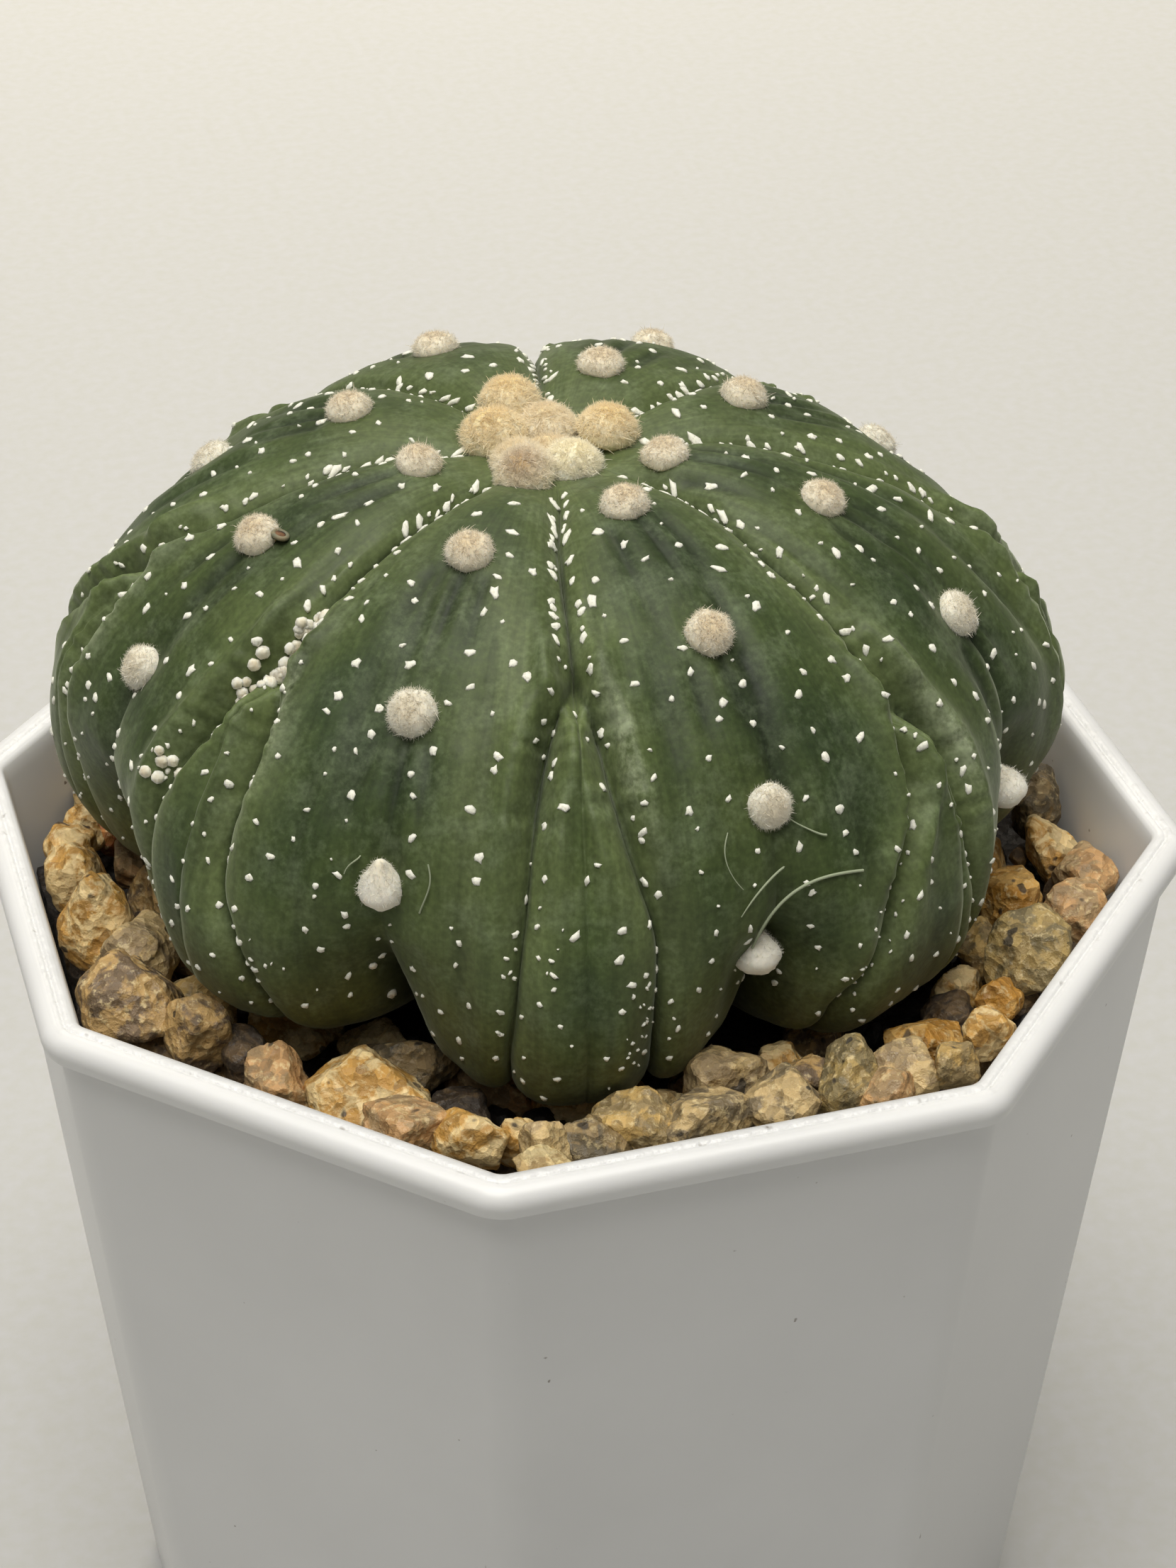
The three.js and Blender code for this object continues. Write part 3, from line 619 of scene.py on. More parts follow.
def draw_octagon(rings):
    """An octagonal solid drawn up through rings, each given by a flat's distance and its height."""
    first, bottom = rings[0]
    bpy.ops.mesh.primitive_circle_add(
        vertices=8, radius=first / math.cos(HALF_SIDE), fill_type="NGON",
        location=(0, 0, bottom), rotation=(0, 0, HALF_SIDE))
    bpy.ops.object.transform_apply(location=True, rotation=True)
    start_editing()
    draw_up(rings)
    end_editing()
    return bpy.context.object


def moulded_pot():
    """An octagon drawn up ring by ring, its corners rounded and its floor drilled."""
    pot = draw_octagon([(wall_outside(0) - 0.5, 0)] + pot_profile())
    widest = max(CORNER_RADII)
    weights = []
    for edge in pot.data.edges:
        ends = [pot.data.vertices[i].co for i in edge.vertices]
        turns = [math.degrees(math.atan2(end.y, end.x)) for end in ends]
        upright = abs(turns[0] - turns[1]) < 1
        middle = (ends[0] + ends[1]) / 2
        weights.append(corner_radius(middle) / widest if upright else 0)
    pot.data.attributes.new("bevel_weight_edge", "FLOAT", "EDGE").data.foreach_set("value", weights)
    apply_modifier(pot, "BEVEL", limit_method="WEIGHT", segments=8, use_clamp_overlap=False,
                   width=widest * math.tan(HALF_SIDE))

    drills = []
    for degrees in (45, 135, 225, 315):
        place = around(math.radians(degrees), DRAIN_CIRCLE_RADIUS, FLOOR_THICKNESS / 2)
        bpy.ops.mesh.primitive_cylinder_add(
            vertices=32, radius=DRAIN_HOLE_RADIUS, depth=4 * FLOOR_THICKNESS, location=place)
        drills.append(bpy.context.object)
    drill = join(drills)
    apply_modifier(pot, "BOOLEAN", operation="DIFFERENCE", solver="EXACT", object=drill)
    discard([drill])

    x, y, z = np.array([vertex.co for vertex in pot.data.vertices]).T
    apothem = np.hypot(x, y) * np.cos(off_flat(np.degrees(np.arctan2(y, x))))
    inward = RIM_ACROSS_FLATS / 2 - apothem
    on_lip = z > POT_HEIGHT - 1
    paint(pot.data, "groove", bell(inward, GROOVE_HALF_WIDTH, GROOVE_INWARD) * on_lip)
    pick(pot)
    bpy.ops.object.shade_smooth_by_angle(angle=math.radians(35))
    settle(pot, "moulded_pot", pot_material(), "pot_plastic", "pot")


# Plant

RIB_ROUNDING = 1.1
CREASE_DEPTH = 1.3
CREASE_REACH = 1.9
BRANCH_DEPTH = 1.6
BRANCH_REACH = 2.4
HOLLOW_DEPTH = 0.7
LIP_RISE = 0.7
WRINKLE_DEPTH = 0.12
WRINKLE_LENGTH = 1.8
DRAPE_DEPTH = 0.34
FURROW_DEPTH = 0.32
AREOLE_SEAT_DEPTH = 0.45
AREOLE_SEAT_REACH = 2.6
FOLD_SEED = 5
SKIN_RADIUS = 30  # turns an azimuth to rough millimetres for the streaks

outline_stations = np.concatenate([[0], np.cumsum(np.hypot(*np.diff(LOBE_OUTLINE, axis=0).T))])
OUTLINE_LENGTH = outline_stations[-1]


def along_outline(outline, along):
    """The smooth curve through an outline's points, at distances along the skin."""
    along = np.asarray(along, float)
    last = len(outline) - 2
    span = np.clip(np.searchsorted(outline_stations, along) - 1, 0, last)
    step = outline_stations[span + 1] - outline_stations[span]
    t = ((along - outline_stations[span]) / step)[..., None]
    before = outline[np.maximum(span - 1, 0)]
    start = outline[span]
    end = outline[span + 1]
    after = outline[np.minimum(span + 2, last + 1)]
    return 0.5 * (2 * start + (end - before) * t
                  + (2 * before - 5 * start + 4 * end - after) * t ** 2
                  + (3 * start - before - 3 * end + after) * t ** 3)


def outward(outline, along):
    """Directions square to an outline, as distance from the axis and height."""
    near = 0.5
    ahead = along_outline(outline, np.minimum(along + near, OUTLINE_LENGTH))
    back = along_outline(outline, np.maximum(along - near, 0))
    slope = ahead - back
    slope /= np.linalg.norm(slope, axis=-1, keepdims=True)
    return np.stack([-slope[..., 1], slope[..., 0]], axis=-1)


def lobe_span(lobe):
    """Azimuths in radians of the ribs on both sides of a lobe."""
    start = RIBS[lobe][0]
    end = RIBS[(lobe + 1) % LOBE_COUNT][0]
    return math.radians(start), math.radians(end + 360 if end < start else end)


def lobe_azimuth(lobe, across):
    """Azimuths in radians of places across a lobe, where across runs from -1 to 1."""
    start, end = lobe_span(lobe)
    return (start + end) / 2 + across * (end - start) / 2


def half_lobe(lobe, along):
    """Half the width of a lobe in millimetres."""
    start, end = lobe_span(lobe)
    return along_outline(LOBE_OUTLINE, along)[..., 0] * (end - start) / 2


def fork_of(lobe):
    """Distance from the crown at which a lobe's crease forks."""
    return LOBES[lobe]["main"][-1][0]


def crease_across(lobe, side, along):
    """Where a lobe's main crease runs (side 0), or past the fork its left or right branch."""
    marks = LOBES[lobe]["main"]
    if side:
        marks = marks + LOBES[lobe]["left" if side < 0 else "right"]
    stations, shares = zip(*marks)
    return sum(np.interp(along + shift, stations, shares) for shift in (-1.2, 0, 1.2)) / 3


def from_crease(lobe, side, across, along):
    """Distance in millimetres from a lobe's crease or its branch, negative on the left of it."""
    return (across - crease_across(lobe, side, along)) * half_lobe(lobe, along)


def seats_beside(lobe):
    """Areoles on a lobe's ribs: -1 or 1 for the rib's side, and the distance from the crown."""
    ribs = ((-1, lobe), (1, (lobe + 1) % LOBE_COUNT))
    return [(hand, seat) for hand, rib in ribs for seat in RIBS[rib][1]]


def from_seats(lobe, across, along):
    """Each areole beside a lobe, with the distance to it in millimetres."""
    half_width = half_lobe(lobe, along)
    return [(seat, np.hypot(half_width * (1 - hand * across), along - seat))
            for hand, seat in seats_beside(lobe)]


def fold(distance, reach):
    """Depth of a crease where two rounded folds of skin meet, from 1 in it to 0 at reach."""
    return 1 - np.sqrt(1 - (1 - np.clip(distance / reach, 0, 1)) ** 2)


fold_random = random.Random(FOLD_SEED)
FOLD_WAVES = [
    (count, fold_random.uniform(0, 2 * math.pi), fold_random.uniform(-0.07, 0.07))
    for count in (19, 26, 31, 37, 45, 58)
]


def drapery(azimuth, along):
    """Depth of the soft furrows that run down the skin, from 0 to about 1."""
    total = sum(np.cos(count * azimuth + phase + drift * along * count / 10)
                for count, phase, drift in FOLD_WAVES)
    return between(along, 11, 24, 50, 62) * np.maximum(total / 3, 0) ** 1.3


def below_areoles(lobe, across, along):
    """Depth of the short furrows below each areole, from 0 to 1."""
    half_width = half_lobe(lobe, along)
    depth = np.zeros(np.broadcast(across, along).shape)
    for hand, seat in seats_beside(lobe):
        if seat < 33:
            beside = -hand * (1 - hand * across) * half_width
            run = between(along, seat + 1, seat + 2.5, seat + 4.5, seat + 9)
            for line in (-1.7, 0.1, 1.4):
                depth += run * bell(beside, 0.5, line * (1 + (along - seat) / 12))
    return depth


def skin_point(lobe, across, along):
    """Places on the skin in millimetres. across runs from -1 to 1 over a lobe."""
    across = np.asarray(across, float)
    along = np.asarray(along, float)
    facts = LOBES[lobe]
    fork = fork_of(lobe)
    azimuth = lobe_azimuth(lobe, across)

    # The form between the outlines over the lobe and down the cleft
    side = np.abs(across)
    share = np.where(across < 0, *facts["clefts"])
    narrow = fold(1 - side, 2 * share)
    wide = np.clip(1 - (1 - side) / (3 * share), 0, 1) ** 1.4
    opening = smoothstep(35, 44, along) * (1 - 0.55 * smoothstep(46, 56, along))
    cleft = narrow + (wide - narrow) * opening
    ridge = along_outline(LOBE_OUTLINE, along)
    valley = along_outline(CLEFT_OUTLINE, along)
    foot = (1 - side ** 6) * between(along, 30, 48, 58, 72)
    r = ridge[..., 0] + (valley - ridge)[..., 0] * cleft + facts["reach"] * foot
    z = ridge[..., 1] + (valley - ridge)[..., 1] * cleft - facts["drop"] * foot

    # How far the skin sinks from that form: along the main crease, then along its branches
    main = crease_across(lobe, 0, along)
    from_main = np.abs(across - main) / (1 - np.sign(across - main) * main)
    swell = (1 - side ** 2) * between(along, 16, 32, 40, 54)
    sink = (RIB_ROUNDING * between(along, 4, 12, 26, 40) * (1 - from_main) ** 2
            - facts["swell"] * swell)
    deep = between(along, 4, 9, 50, 58) * (1 - 0.65 * smoothstep(fork, fork + 5, along))
    sink += CREASE_DEPTH * deep * fold(np.abs(from_crease(lobe, 0, across, along)), CREASE_REACH)
    lower = between(along, fork - 1, fork + 4, 60, 70)
    lips = between(along, fork - 5, fork + 1, fork + 10, fork + 18)
    crinkled = between(along, fork - 8, fork, fork + 9, fork + 16)
    for hand in (-1, 1):
        offset = from_crease(lobe, hand, across, along)
        off = np.abs(offset)
        sink += BRANCH_DEPTH * lower * fold(off, BRANCH_REACH)
        sink += HOLLOW_DEPTH * bell(along, 5, fork + 6) * bell(off, 1)
        sink -= LIP_RISE * lips * bell(off, 0.8, 1.7)
        wave = np.sin(2 * math.pi * along / WRINKLE_LENGTH + 3 * np.sin(along / 2.3 + 1.7 * lobe)
                      + 2 * np.sign(offset) + hand) * (1 + np.sin(1.3 * along + lobe + 4 * hand))
        sink += WRINKLE_DEPTH * crinkled * wave * bell(off, 0.9, 0.9)

    sink += DRAPE_DEPTH * drapery(azimuth, along)
    sink += FURROW_DEPTH * below_areoles(lobe, across, along)
    for seat, off in from_seats(lobe, across, along):
        sink += AREOLE_SEAT_DEPTH * bell(off, AREOLE_SEAT_REACH) * smoothstep(8, 30, seat)
    normal = outward(LOBE_OUTLINE, along)
    r = r - normal[..., 0] * sink
    z = z - normal[..., 1] * sink
    return np.stack([
        PLANT_X + r * np.cos(azimuth), PLANT_Y + r * np.sin(azimuth), POT_HEIGHT + z,
    ], axis=-1)


def skin_looks(lobe, across, along):
    """The shares by which the skin's material changes over a lobe, and the run of its streaks."""
    side = np.abs(across)
    azimuth = lobe_azimuth(lobe, across)
    from_left, from_right = (from_crease(lobe, hand, across, along) for hand in (-1, 1))
    off = np.minimum(np.abs(from_left), np.abs(from_right))
    shoulder = side * between(along, 10, 18, 32, 44)
    by_crown = 1 - smoothstep(10, 26, along)
    crease = bell(off, 0.22) * between(along, 9, 16, 54, 60)
    cleft = smoothstep(0.8, 1, side) * smoothstep(43, 50, along)
    # Painted shade darkens the creases, the low clefts and the furrows of the drapery and below the
    # areoles; the shoulders and the skin by the crown are darker in tone
    dark = (0.3 * drapery(azimuth, along) + 0.35 * shoulder + 0.24 * by_crown
            + 0.5 * below_areoles(lobe, across, along) + 0.6 * crease + 0.7 * cleft)
    # Painted light: a pale band left of the left branch, on the side of the fold that faces the
    # light
    painted_lit_band = LOBES[lobe].get("painted_lit_fold", 0) * bell(from_left, 2, -3.8)
    return {
        "dark": np.clip(dark, 0, 1),
        "beside_fold": np.maximum(bell(off, 2.8), painted_lit_band * smoothstep(12, 18, along)),
        # Olive tone at the foot, whose mix is also painted lighter in place of the light the lower
        # skin gets
        "foot": smoothstep(44, 56, along),
        # Painted highlight along the lip right of the right branch, just below the fork
        "lip_highlight": bell(from_right, 0.6, 1.5) * bell(along, 4.5, fork_of(lobe) + 5.5),
        "round_it": SKIN_RADIUS * azimuth,
        "down_it": along,
    }


LINES_TO_BRANCH = 10
LINES_TO_RIB = 19
LEAST_BRANCH = 0.12  # share of the half lobe that the lines to a branch always span
SKIN_RINGS = 200
UNDERSIDE_START = 60  # distance from the crown past which the rings lie further apart
UNDERSIDE_RINGS = 24


def across_lines(lobe, along):
    """across at each line of the mesh over a lobe: the lines crowd together at the creases."""
    inner = (1 - np.cos(np.pi * np.arange(LINES_TO_BRANCH + 1) / LINES_TO_BRANCH)) / 2
    even = np.arange(1, LINES_TO_RIB + 1) / LINES_TO_RIB
    outer = 0.4 * even + 0.6 * (1 - np.cos(np.pi * even)) / 2
    main = crease_across(lobe, 0, along)[:, None]
    halves = []
    for side in (-1, 1):
        apart = side * (crease_across(lobe, side, along)[:, None] - main)
        branch = main + side * np.maximum(apart, LEAST_BRANCH)
        halves.append(np.concatenate([
            main + (branch - main) * inner, branch + (side - branch) * outer,
        ], axis=1))
    return np.concatenate([halves[0][:, :0:-1], halves[1][:, :-1]], axis=1)


def plant_skin():
    """A grid with a line along each fold, wrapped to the skin's form and closed."""
    lines = 2 * (LINES_TO_BRANCH + LINES_TO_RIB) * LOBE_COUNT
    bpy.ops.mesh.primitive_grid_add(x_subdivisions=lines, y_subdivisions=SKIN_RINGS, size=2)
    skin = bpy.context.object
    start = np.array([vertex.co for vertex in skin.data.vertices])
    line = np.rint((start[:, 0] + 1) / 2 * lines).astype(int) % lines
    ring = np.rint((1 - start[:, 1]) / 2 * SKIN_RINGS).astype(int)
    stations = np.concatenate([
        np.linspace(0, UNDERSIDE_START, SKIN_RINGS - UNDERSIDE_RINGS + 1),
        np.linspace(UNDERSIDE_START, OUTLINE_LENGTH, UNDERSIDE_RINGS + 1)[1:],
    ])
    strips = []
    for lobe in range(LOBE_COUNT):
        across = across_lines(lobe, stations)
        along = np.broadcast_to(stations[:, None], across.shape)
        strips.append({
            "place": skin_point(lobe, across, along), **skin_looks(lobe, across, along)})
    whole = {name: np.concatenate([strip[name] for strip in strips], axis=1)[ring, line]
             for name in strips[0]}
    skin.data.vertices.foreach_set("co", whole.pop("place").ravel())
    for name, value in whole.items():
        paint(skin.data, name, value)
    start_editing()
    bpy.ops.mesh.remove_doubles(threshold=0.0001)
    bpy.ops.object.mode_set(mode="OBJECT")
    apply_modifier(skin, "DISPLACE", texture=clouds("skin_lumps", 5), strength=0.35, mid_level=0.5)
    skin.data.shade_smooth()
    return skin


def seat_on(surface, lobe, across, along):
    """The skin's place, outward normal and downhill direction, on the finished mesh."""
    guess, below = (Vector(skin_point(lobe, across, s)) for s in (along, along + 0.3))
    point, normal, _, _ = surface.find_nearest(guess)
    down = (below - guess) - (below - guess).dot(normal) * normal
    return point, normal, down.normalized()


def frame_matrix(point, normal, down, turn, scale):
    """Stands a shape on a surface: its Z along the normal and its Y downhill, then turned."""
    side = down.cross(normal)
    axes = Matrix((side, down, normal)).transposed().to_4x4()
    return (Matrix.Translation(point) @ axes @ Matrix.Rotation(turn, 4, "Z")
            @ Matrix.Diagonal((*scale, 1)))


# Flecks

FLECK_HALF_WIDTH = 0.28
FLECK_HALF_LENGTH = 0.36
FLECK_HEIGHT = 0.14
FLECK_CORNERS = 9
FLECK_SHAPES = 8
FLECK_ROWS = 21
FIRST_FLECK_ROW = 10  # distance from the crown
FLECK_CLEARANCE = 2.1  # least distance from the middle of an areole

# Places where the flecks lie thick, seven at each: lobe, across and along
FLECK_CROWDS = [
    (0, 0.25, 45.4), (0, 0.3, 47.2), (0, 0.25, 49.1), (0, -0.17, 41.1), (1, -0.5, 45.6),
    (1, -0.62, 48), (7, -0.4, 37.2), (7, 0.4, 47),
]


def fleck_templates():
    """Little felt pads: flat scraps with ragged outlines."""
    templates = []
    for shape in range(FLECK_SHAPES):
        draw = random.Random(300 + shape)
        bpy.ops.mesh.primitive_uv_sphere_add(segments=FLECK_CORNERS, ring_count=4, radius=1)
        pad = bpy.context.object
        pulls = [draw.uniform(0.6, 1.25) for _ in range(FLECK_CORNERS)]
        for vertex in pad.data.vertices:
            turn = math.atan2(vertex.co.y, vertex.co.x) / (2 * math.pi)
            corner = round(turn * FLECK_CORNERS) % FLECK_CORNERS
            vertex.co.x *= pulls[corner]
            vertex.co.y *= pulls[corner]
            vertex.co.z *= draw.uniform(0.6, 1.3)
        pad.data.shade_smooth()
        templates.append(pad)
    return templates


def fleck_rows():
    """Flecks in rough rows all over the skin, as in the solid."""
    draw = make_random(FLECK_SEED)
    places = []
    for row in range(FLECK_ROWS):
        along = FIRST_FLECK_ROW + FLECK_ROW_SPACING * row
        radius = along_outline(LOBE_OUTLINE, along)[0]
        per_lobe = round(2 * math.pi * radius / LOBE_COUNT / FLECK_SPACING)
        stretch = 1.15 - 0.15 * float(smoothstep(14, 30, along))
        for lobe in range(LOBE_COUNT):
            for i in range(per_lobe):
                across = ((i + 0.5 + 0.7 * (draw() - 0.5)) / per_lobe) * 2 - 1
                jitter = 1.5 * (draw() - 0.5)
                size = 0.75 + 0.5 * draw()
                turn = 6 * (draw() - 0.5)
                places.append((lobe, across, along + jitter, size, turn, stretch))
    return places


def more_flecks():
    """Pairs of flecks down both sides of the creases, then the crowded places."""
    draw = random.Random(FLECK_SEED)
    places = []
    for lobe in range(LOBE_COUNT):
        fork = fork_of(lobe)
        along = 6.5
        while along < 52:
            near_crown = 1 - float(smoothstep(12, 20, along))
            for hand in (-1, 1):
                if draw.random() < 0.55 + 0.4 * near_crown:
                    off = draw.uniform(0.25, 0.5) + 0.5 * (1 - near_crown)
                    line = float(crease_across(lobe, hand, along))
                    side = hand if along < fork or draw.random() < 0.5 else -hand
                    places.append((
                        lobe, line + side * off / float(half_lobe(lobe, along)),
                        along + draw.uniform(-0.4, 0.4), draw.uniform(0.65, 1.2),
                        -side * draw.uniform(0.5, 1), 1.15 + 0.5 * near_crown))
            along += draw.uniform(0.8, 1.3) if along < fork else draw.uniform(1, 2)
    for lobe, across, along in FLECK_CROWDS:
        for _ in range(7):
            places.append((lobe, across + draw.gauss(0, 0.06), along + draw.gauss(0, 1),
                           draw.uniform(0.4, 0.75), draw.uniform(-1.6, 1.6), 1.2))
    return places


def felt_flecks(surface):
    """White felt flecks, smaller towards the foot.

    Each is given by a lobe, a place across and along it, a size, a turn, and its length for its
    width.
    """
    templates = fleck_templates()
    draw = random.Random(FLECK_SEED + 1)
    flecks = []
    for lobe, across, along, size, turn, stretch in fleck_rows() + more_flecks():
        if min(off for _, off in from_seats(lobe, across, along)) < FLECK_CLEARANCE:
            continue
        point, normal, down = seat_on(surface, lobe, across, along)
        if draw.random() < 0.3:
            size *= draw.uniform(0.4, 0.7)
        size *= 1 - 0.25 * float(smoothstep(30, 50, along))
        length = FLECK_HALF_LENGTH * size * stretch * draw.uniform(0.8, 1.25)
        width = FLECK_HALF_WIDTH * size * draw.uniform(0.85, 1.15)
        matrix = frame_matrix(point, normal, down, turn, (width, length, FLECK_HEIGHT))
        flecks.append(copy_of(draw.choice(templates), matrix))
    discard(templates)
    return join(flecks)


# Wool. Its hairs are drawn coarser than real ones and far fewer, as finer ones wouldn't show.
# Its tones are given for the middle of a tuft and for its fringe.

WOOL_TONES = {
    "golden": ("#f3d898", "#faeac2"),
    "pale gold": ("#ecd6a6", "#f9edd0"),
    "cream": ("#fff3c9", "#fff8e0"),
    "pinkish": ("#bfa075", "#fbf0d4"),
    "tan": ("#d3bf9c", "#ebe0c6"),
    "white": ("#d8ccb1", "#ebe4cf"),
    "bud": ("#e6dec8", "#f1ecdc"),
}
HAIR_RADIUS = 0.038
STRAY_RADIUS = 0.035
HAIR_SEGMENTS = 3
HAIR_TAPER = 0.85  # from one segment to the next, but for the last
TIP_TAPER = 0.35
PAD_WIDTH = 0.94  # leaves room for the hairs inside the tuft's radius
DIMPLE_WIDTH = 0.38
HAIR_ROOT = 0.25  # share of a hair that is sunk in the pad
STRAY_EVERY = 40  # one hair in so many is a long stray
ANY_TURN = 6.28  # up to about a full turn, for shapes that may lie any way round


def hair_templates():
    """Hairs one unit long, standing on their root: a short straight one, then curved ones."""
    bpy.ops.mesh.primitive_cone_add(vertices=3, radius1=HAIR_RADIUS, radius2=0, depth=1)
    templates = [bpy.context.object]
    templates[0].data.transform(Matrix.Translation((0, 0, 0.5)))
    for degrees in (30, 60, 90):
        bpy.ops.mesh.primitive_circle_add(vertices=3, radius=STRAY_RADIUS, fill_type="NGON")
        start_editing()
        x = z = lean = 0
        for step in range(HAIR_SEGMENTS):
            lean += math.radians(degrees) / HAIR_SEGMENTS
            move = (math.sin(lean) / HAIR_SEGMENTS, 0, math.cos(lean) / HAIR_SEGMENTS)
            x += move[0]
            z += move[2]
            taper = HAIR_TAPER if step < HAIR_SEGMENTS - 1 else TIP_TAPER
            extrude(move, taper, (x, 0, z))
        end_editing()
        templates.append(bpy.context.object)
    return templates


def wool_tuft(seed, hairs, count, height, dimple, point, sides=26, lumps=0.2):
    """A matted pad one unit in radius, with a nap of short hairs and a few long strays.

    point draws the pad's top up from a round dome, at 0, to a cone, at 1.
    """
    draw = random.Random(seed)

    def dome(z, out):
        return z * (1 - point) + (1 - out) * point

    bpy.ops.mesh.primitive_uv_sphere_add(segments=sides, ring_count=sides * 5 // 8, radius=1)
    pad = bpy.context.object
    for vertex in pad.data.vertices:
        x, y, z = vertex.co
        out = min(math.hypot(x, y), 1)
        level = dome(z, out) if z > 0 else 0.5 * z
        sunk = dimple * math.exp(-(out / DIMPLE_WIDTH) ** 2) if z > 0 else 0
        vertex.co = (PAD_WIDTH * x, PAD_WIDTH * y, level * height - sunk)
    apply_modifier(
        pad, "DISPLACE", texture=clouds("felt_lumps", 0.45), strength=lumps, mid_level=0.5)
    pad.data.shade_smooth()
    places = np.array([vertex.co for vertex in pad.data.vertices])
    paint(pad.data, "rim", smoothstep(0.25, 0.95, np.hypot(places[:, 0], places[:, 1])))
    surface = BVHTree.FromObject(pad, bpy.context.evaluated_depsgraph_get())
    pieces = [pad]
    for hair in range(count):
        turn = draw.uniform(0, 2 * math.pi)
        out = draw.random() ** 0.5
        rise = height * dome(math.sqrt(max(1 - out * out, 0)), out)
        root, normal, _, _ = surface.find_nearest(around(turn, out, rise - 0.15))
        across = Vector([draw.gauss(0, 1) for _ in range(3)])
        stray = hair % STRAY_EVERY == 0
        lift = draw.uniform(0.3, 1) if stray else draw.uniform(0.4, 1.1) + 0.6 * out
        direction = (normal * lift + across.cross(normal).normalized()).normalized()
        reach = draw.uniform(0.35, 0.6) if stray else draw.uniform(0.15, 0.34)
        template = draw.choice(hairs[1:]) if stray else hairs[0]
        matrix = (Matrix.Translation(root - direction * HAIR_ROOT * reach)
                  @ direction.to_track_quat("Z", "Y").to_matrix().to_4x4()
                  @ Matrix.Rotation(draw.uniform(0, 2 * math.pi), 4, "Z")
                  @ Matrix.Scale(reach, 4))
        pieces.append(copy_of(template, matrix, rim=min(1, 0.35 + 0.75 * out)))
    return join(pieces)


def toned(template, matrix, tone):
    """A copy of a tuft in one of the wool's tones."""
    heart, fringe = WOOL_TONES[tone]
    return copy_of(template, matrix, heart=colour(heart), fringe=colour(fringe))


LEFT_LOBE = 7

# How far areoles deep in the clefts stand out of them: outward, up and round the plant
SEEN_BUDS = {(-79, 47): (1.8, -0.5, -1.2), (-32, 44.6): (2.2, -1.3, -1.6), (187, 45): (-0.6, 0, 0)}
BUD_START = 38  # distance from the crown past which the areoles are buds
LOW_BUD_START = 43
WHITE_START = 24  # distance past which the areoles are white
AREOLE_RADIUS = 1.66
BUD_LEAN = math.radians(69)  # uphill from square to the skin
LOW_BUD_LEAN = math.radians(98)


def areole_wool(surface, hairs):
    """A woolly button on each seat down the ribs, whiter and more pointed on the lower ones."""
    buttons = [wool_tuft(40 + i, hairs, 1150, 0.82, 0.05, 0) for i in range(4)]
    buds = [wool_tuft(50 + i, hairs, 800, 1.5, 0, 0.6) for i in range(2)]
    draw = random.Random(40)
    tufts = []
    for rib, (azimuth, seats) in enumerate(RIBS):
        turn = math.radians(azimuth)
        side = Vector((-math.sin(turn), math.cos(turn), 0))
        for along in seats:
            on_skin = seat_on(surface, rib, -1, along)[0]
            flare, rise = outward(CLEFT_OUTLINE, min(along, BUD_START))
            normal = around(turn, flare, rise).normalized()
            down = side.cross(normal)
            radius = AREOLE_RADIUS - 0.08 * float(smoothstep(25, 42, along))
            radius *= draw.uniform(0.95, 1.04)
            low = along >= BUD_START
            if low:
                uphill = LOW_BUD_LEAN if along > LOW_BUD_START else BUD_LEAN
                normal = math.cos(uphill) * normal - math.sin(uphill) * down
                down = side.cross(normal)
            template = draw.choice(buds if low else buttons)
            tone = "bud" if low else "white" if along > WHITE_START else "tan"
            out, up, aside = SEEN_BUDS.get((azimuth, along), (0.2, 0, 0))
            place = on_skin + aside * side + around(turn, out, up)
            matrix = frame_matrix(
                place, normal, down, draw.uniform(0, 2 * math.pi),
                (radius, radius, radius * draw.uniform(0.9, 1.1)))
            tufts.append(toned(template, matrix, tone))
    discard(buttons + buds)
    return tufts


def crease_wool(surface, hairs):
    """Balls of loose wool that gather in the crease of the lobe on the left."""
    balls_of_wool = [wool_tuft(70 + i, hairs, 120, 0.8, 0, 0, 12, 0.55) for i in range(3)]
    draw = random.Random(70)
    spots = [(float(crease_across(LEFT_LOBE, -1, along)) + draw.gauss(-0.01, 0.035), along)
             for along in np.arange(22.5, 31, 0.2)]
    spots += [(-0.38 + draw.gauss(0, 0.03), 37 + draw.uniform(-1.3, 1.3)) for _ in range(6)]
    spots += [(0.93, 53.3), (0.9, 49)]
    balls = []
    for across, along in spots:
        point, normal, down = seat_on(surface, LEFT_LOBE, across, along)
        size = draw.uniform(0.28, 0.56)
        matrix = frame_matrix(point, normal, down, draw.uniform(0, 6), (size, size, size))
        balls.append(
            toned(draw.choice(balls_of_wool), matrix, draw.choice(["white", "bud", "white"])))
    discard(balls_of_wool)
    return balls


def crown_wool(hairs):
    """Deep golden wool heaped over the growing point."""
    tufts = [wool_tuft(60 + i, hairs, 3900, 0.95, 0, 0) for i in range(3)]
    draw = random.Random(60)
    middle = Vector((PLANT_X, PLANT_Y, POT_HEIGHT + 0.4))
    heaps = []
    for azimuth, distance, radius, lean, tone in CROWN_TUFTS:
        turn = math.radians(azimuth)
        place = middle + around(turn, distance, along_outline(LOBE_OUTLINE, distance)[1])
        matrix = (Matrix.Translation(place) @ Matrix.Rotation(turn, 4, "Z")
                  @ Matrix.Rotation(math.radians(lean), 4, "Y")
                  @ Matrix.Rotation(draw.uniform(0, ANY_TURN), 4, "Z")
                  @ Matrix.Diagonal((radius, radius, 0.92 * radius, 1)))
        heaps.append(toned(draw.choice(tufts), matrix, tone))
    discard(tufts)
    return join(heaps)


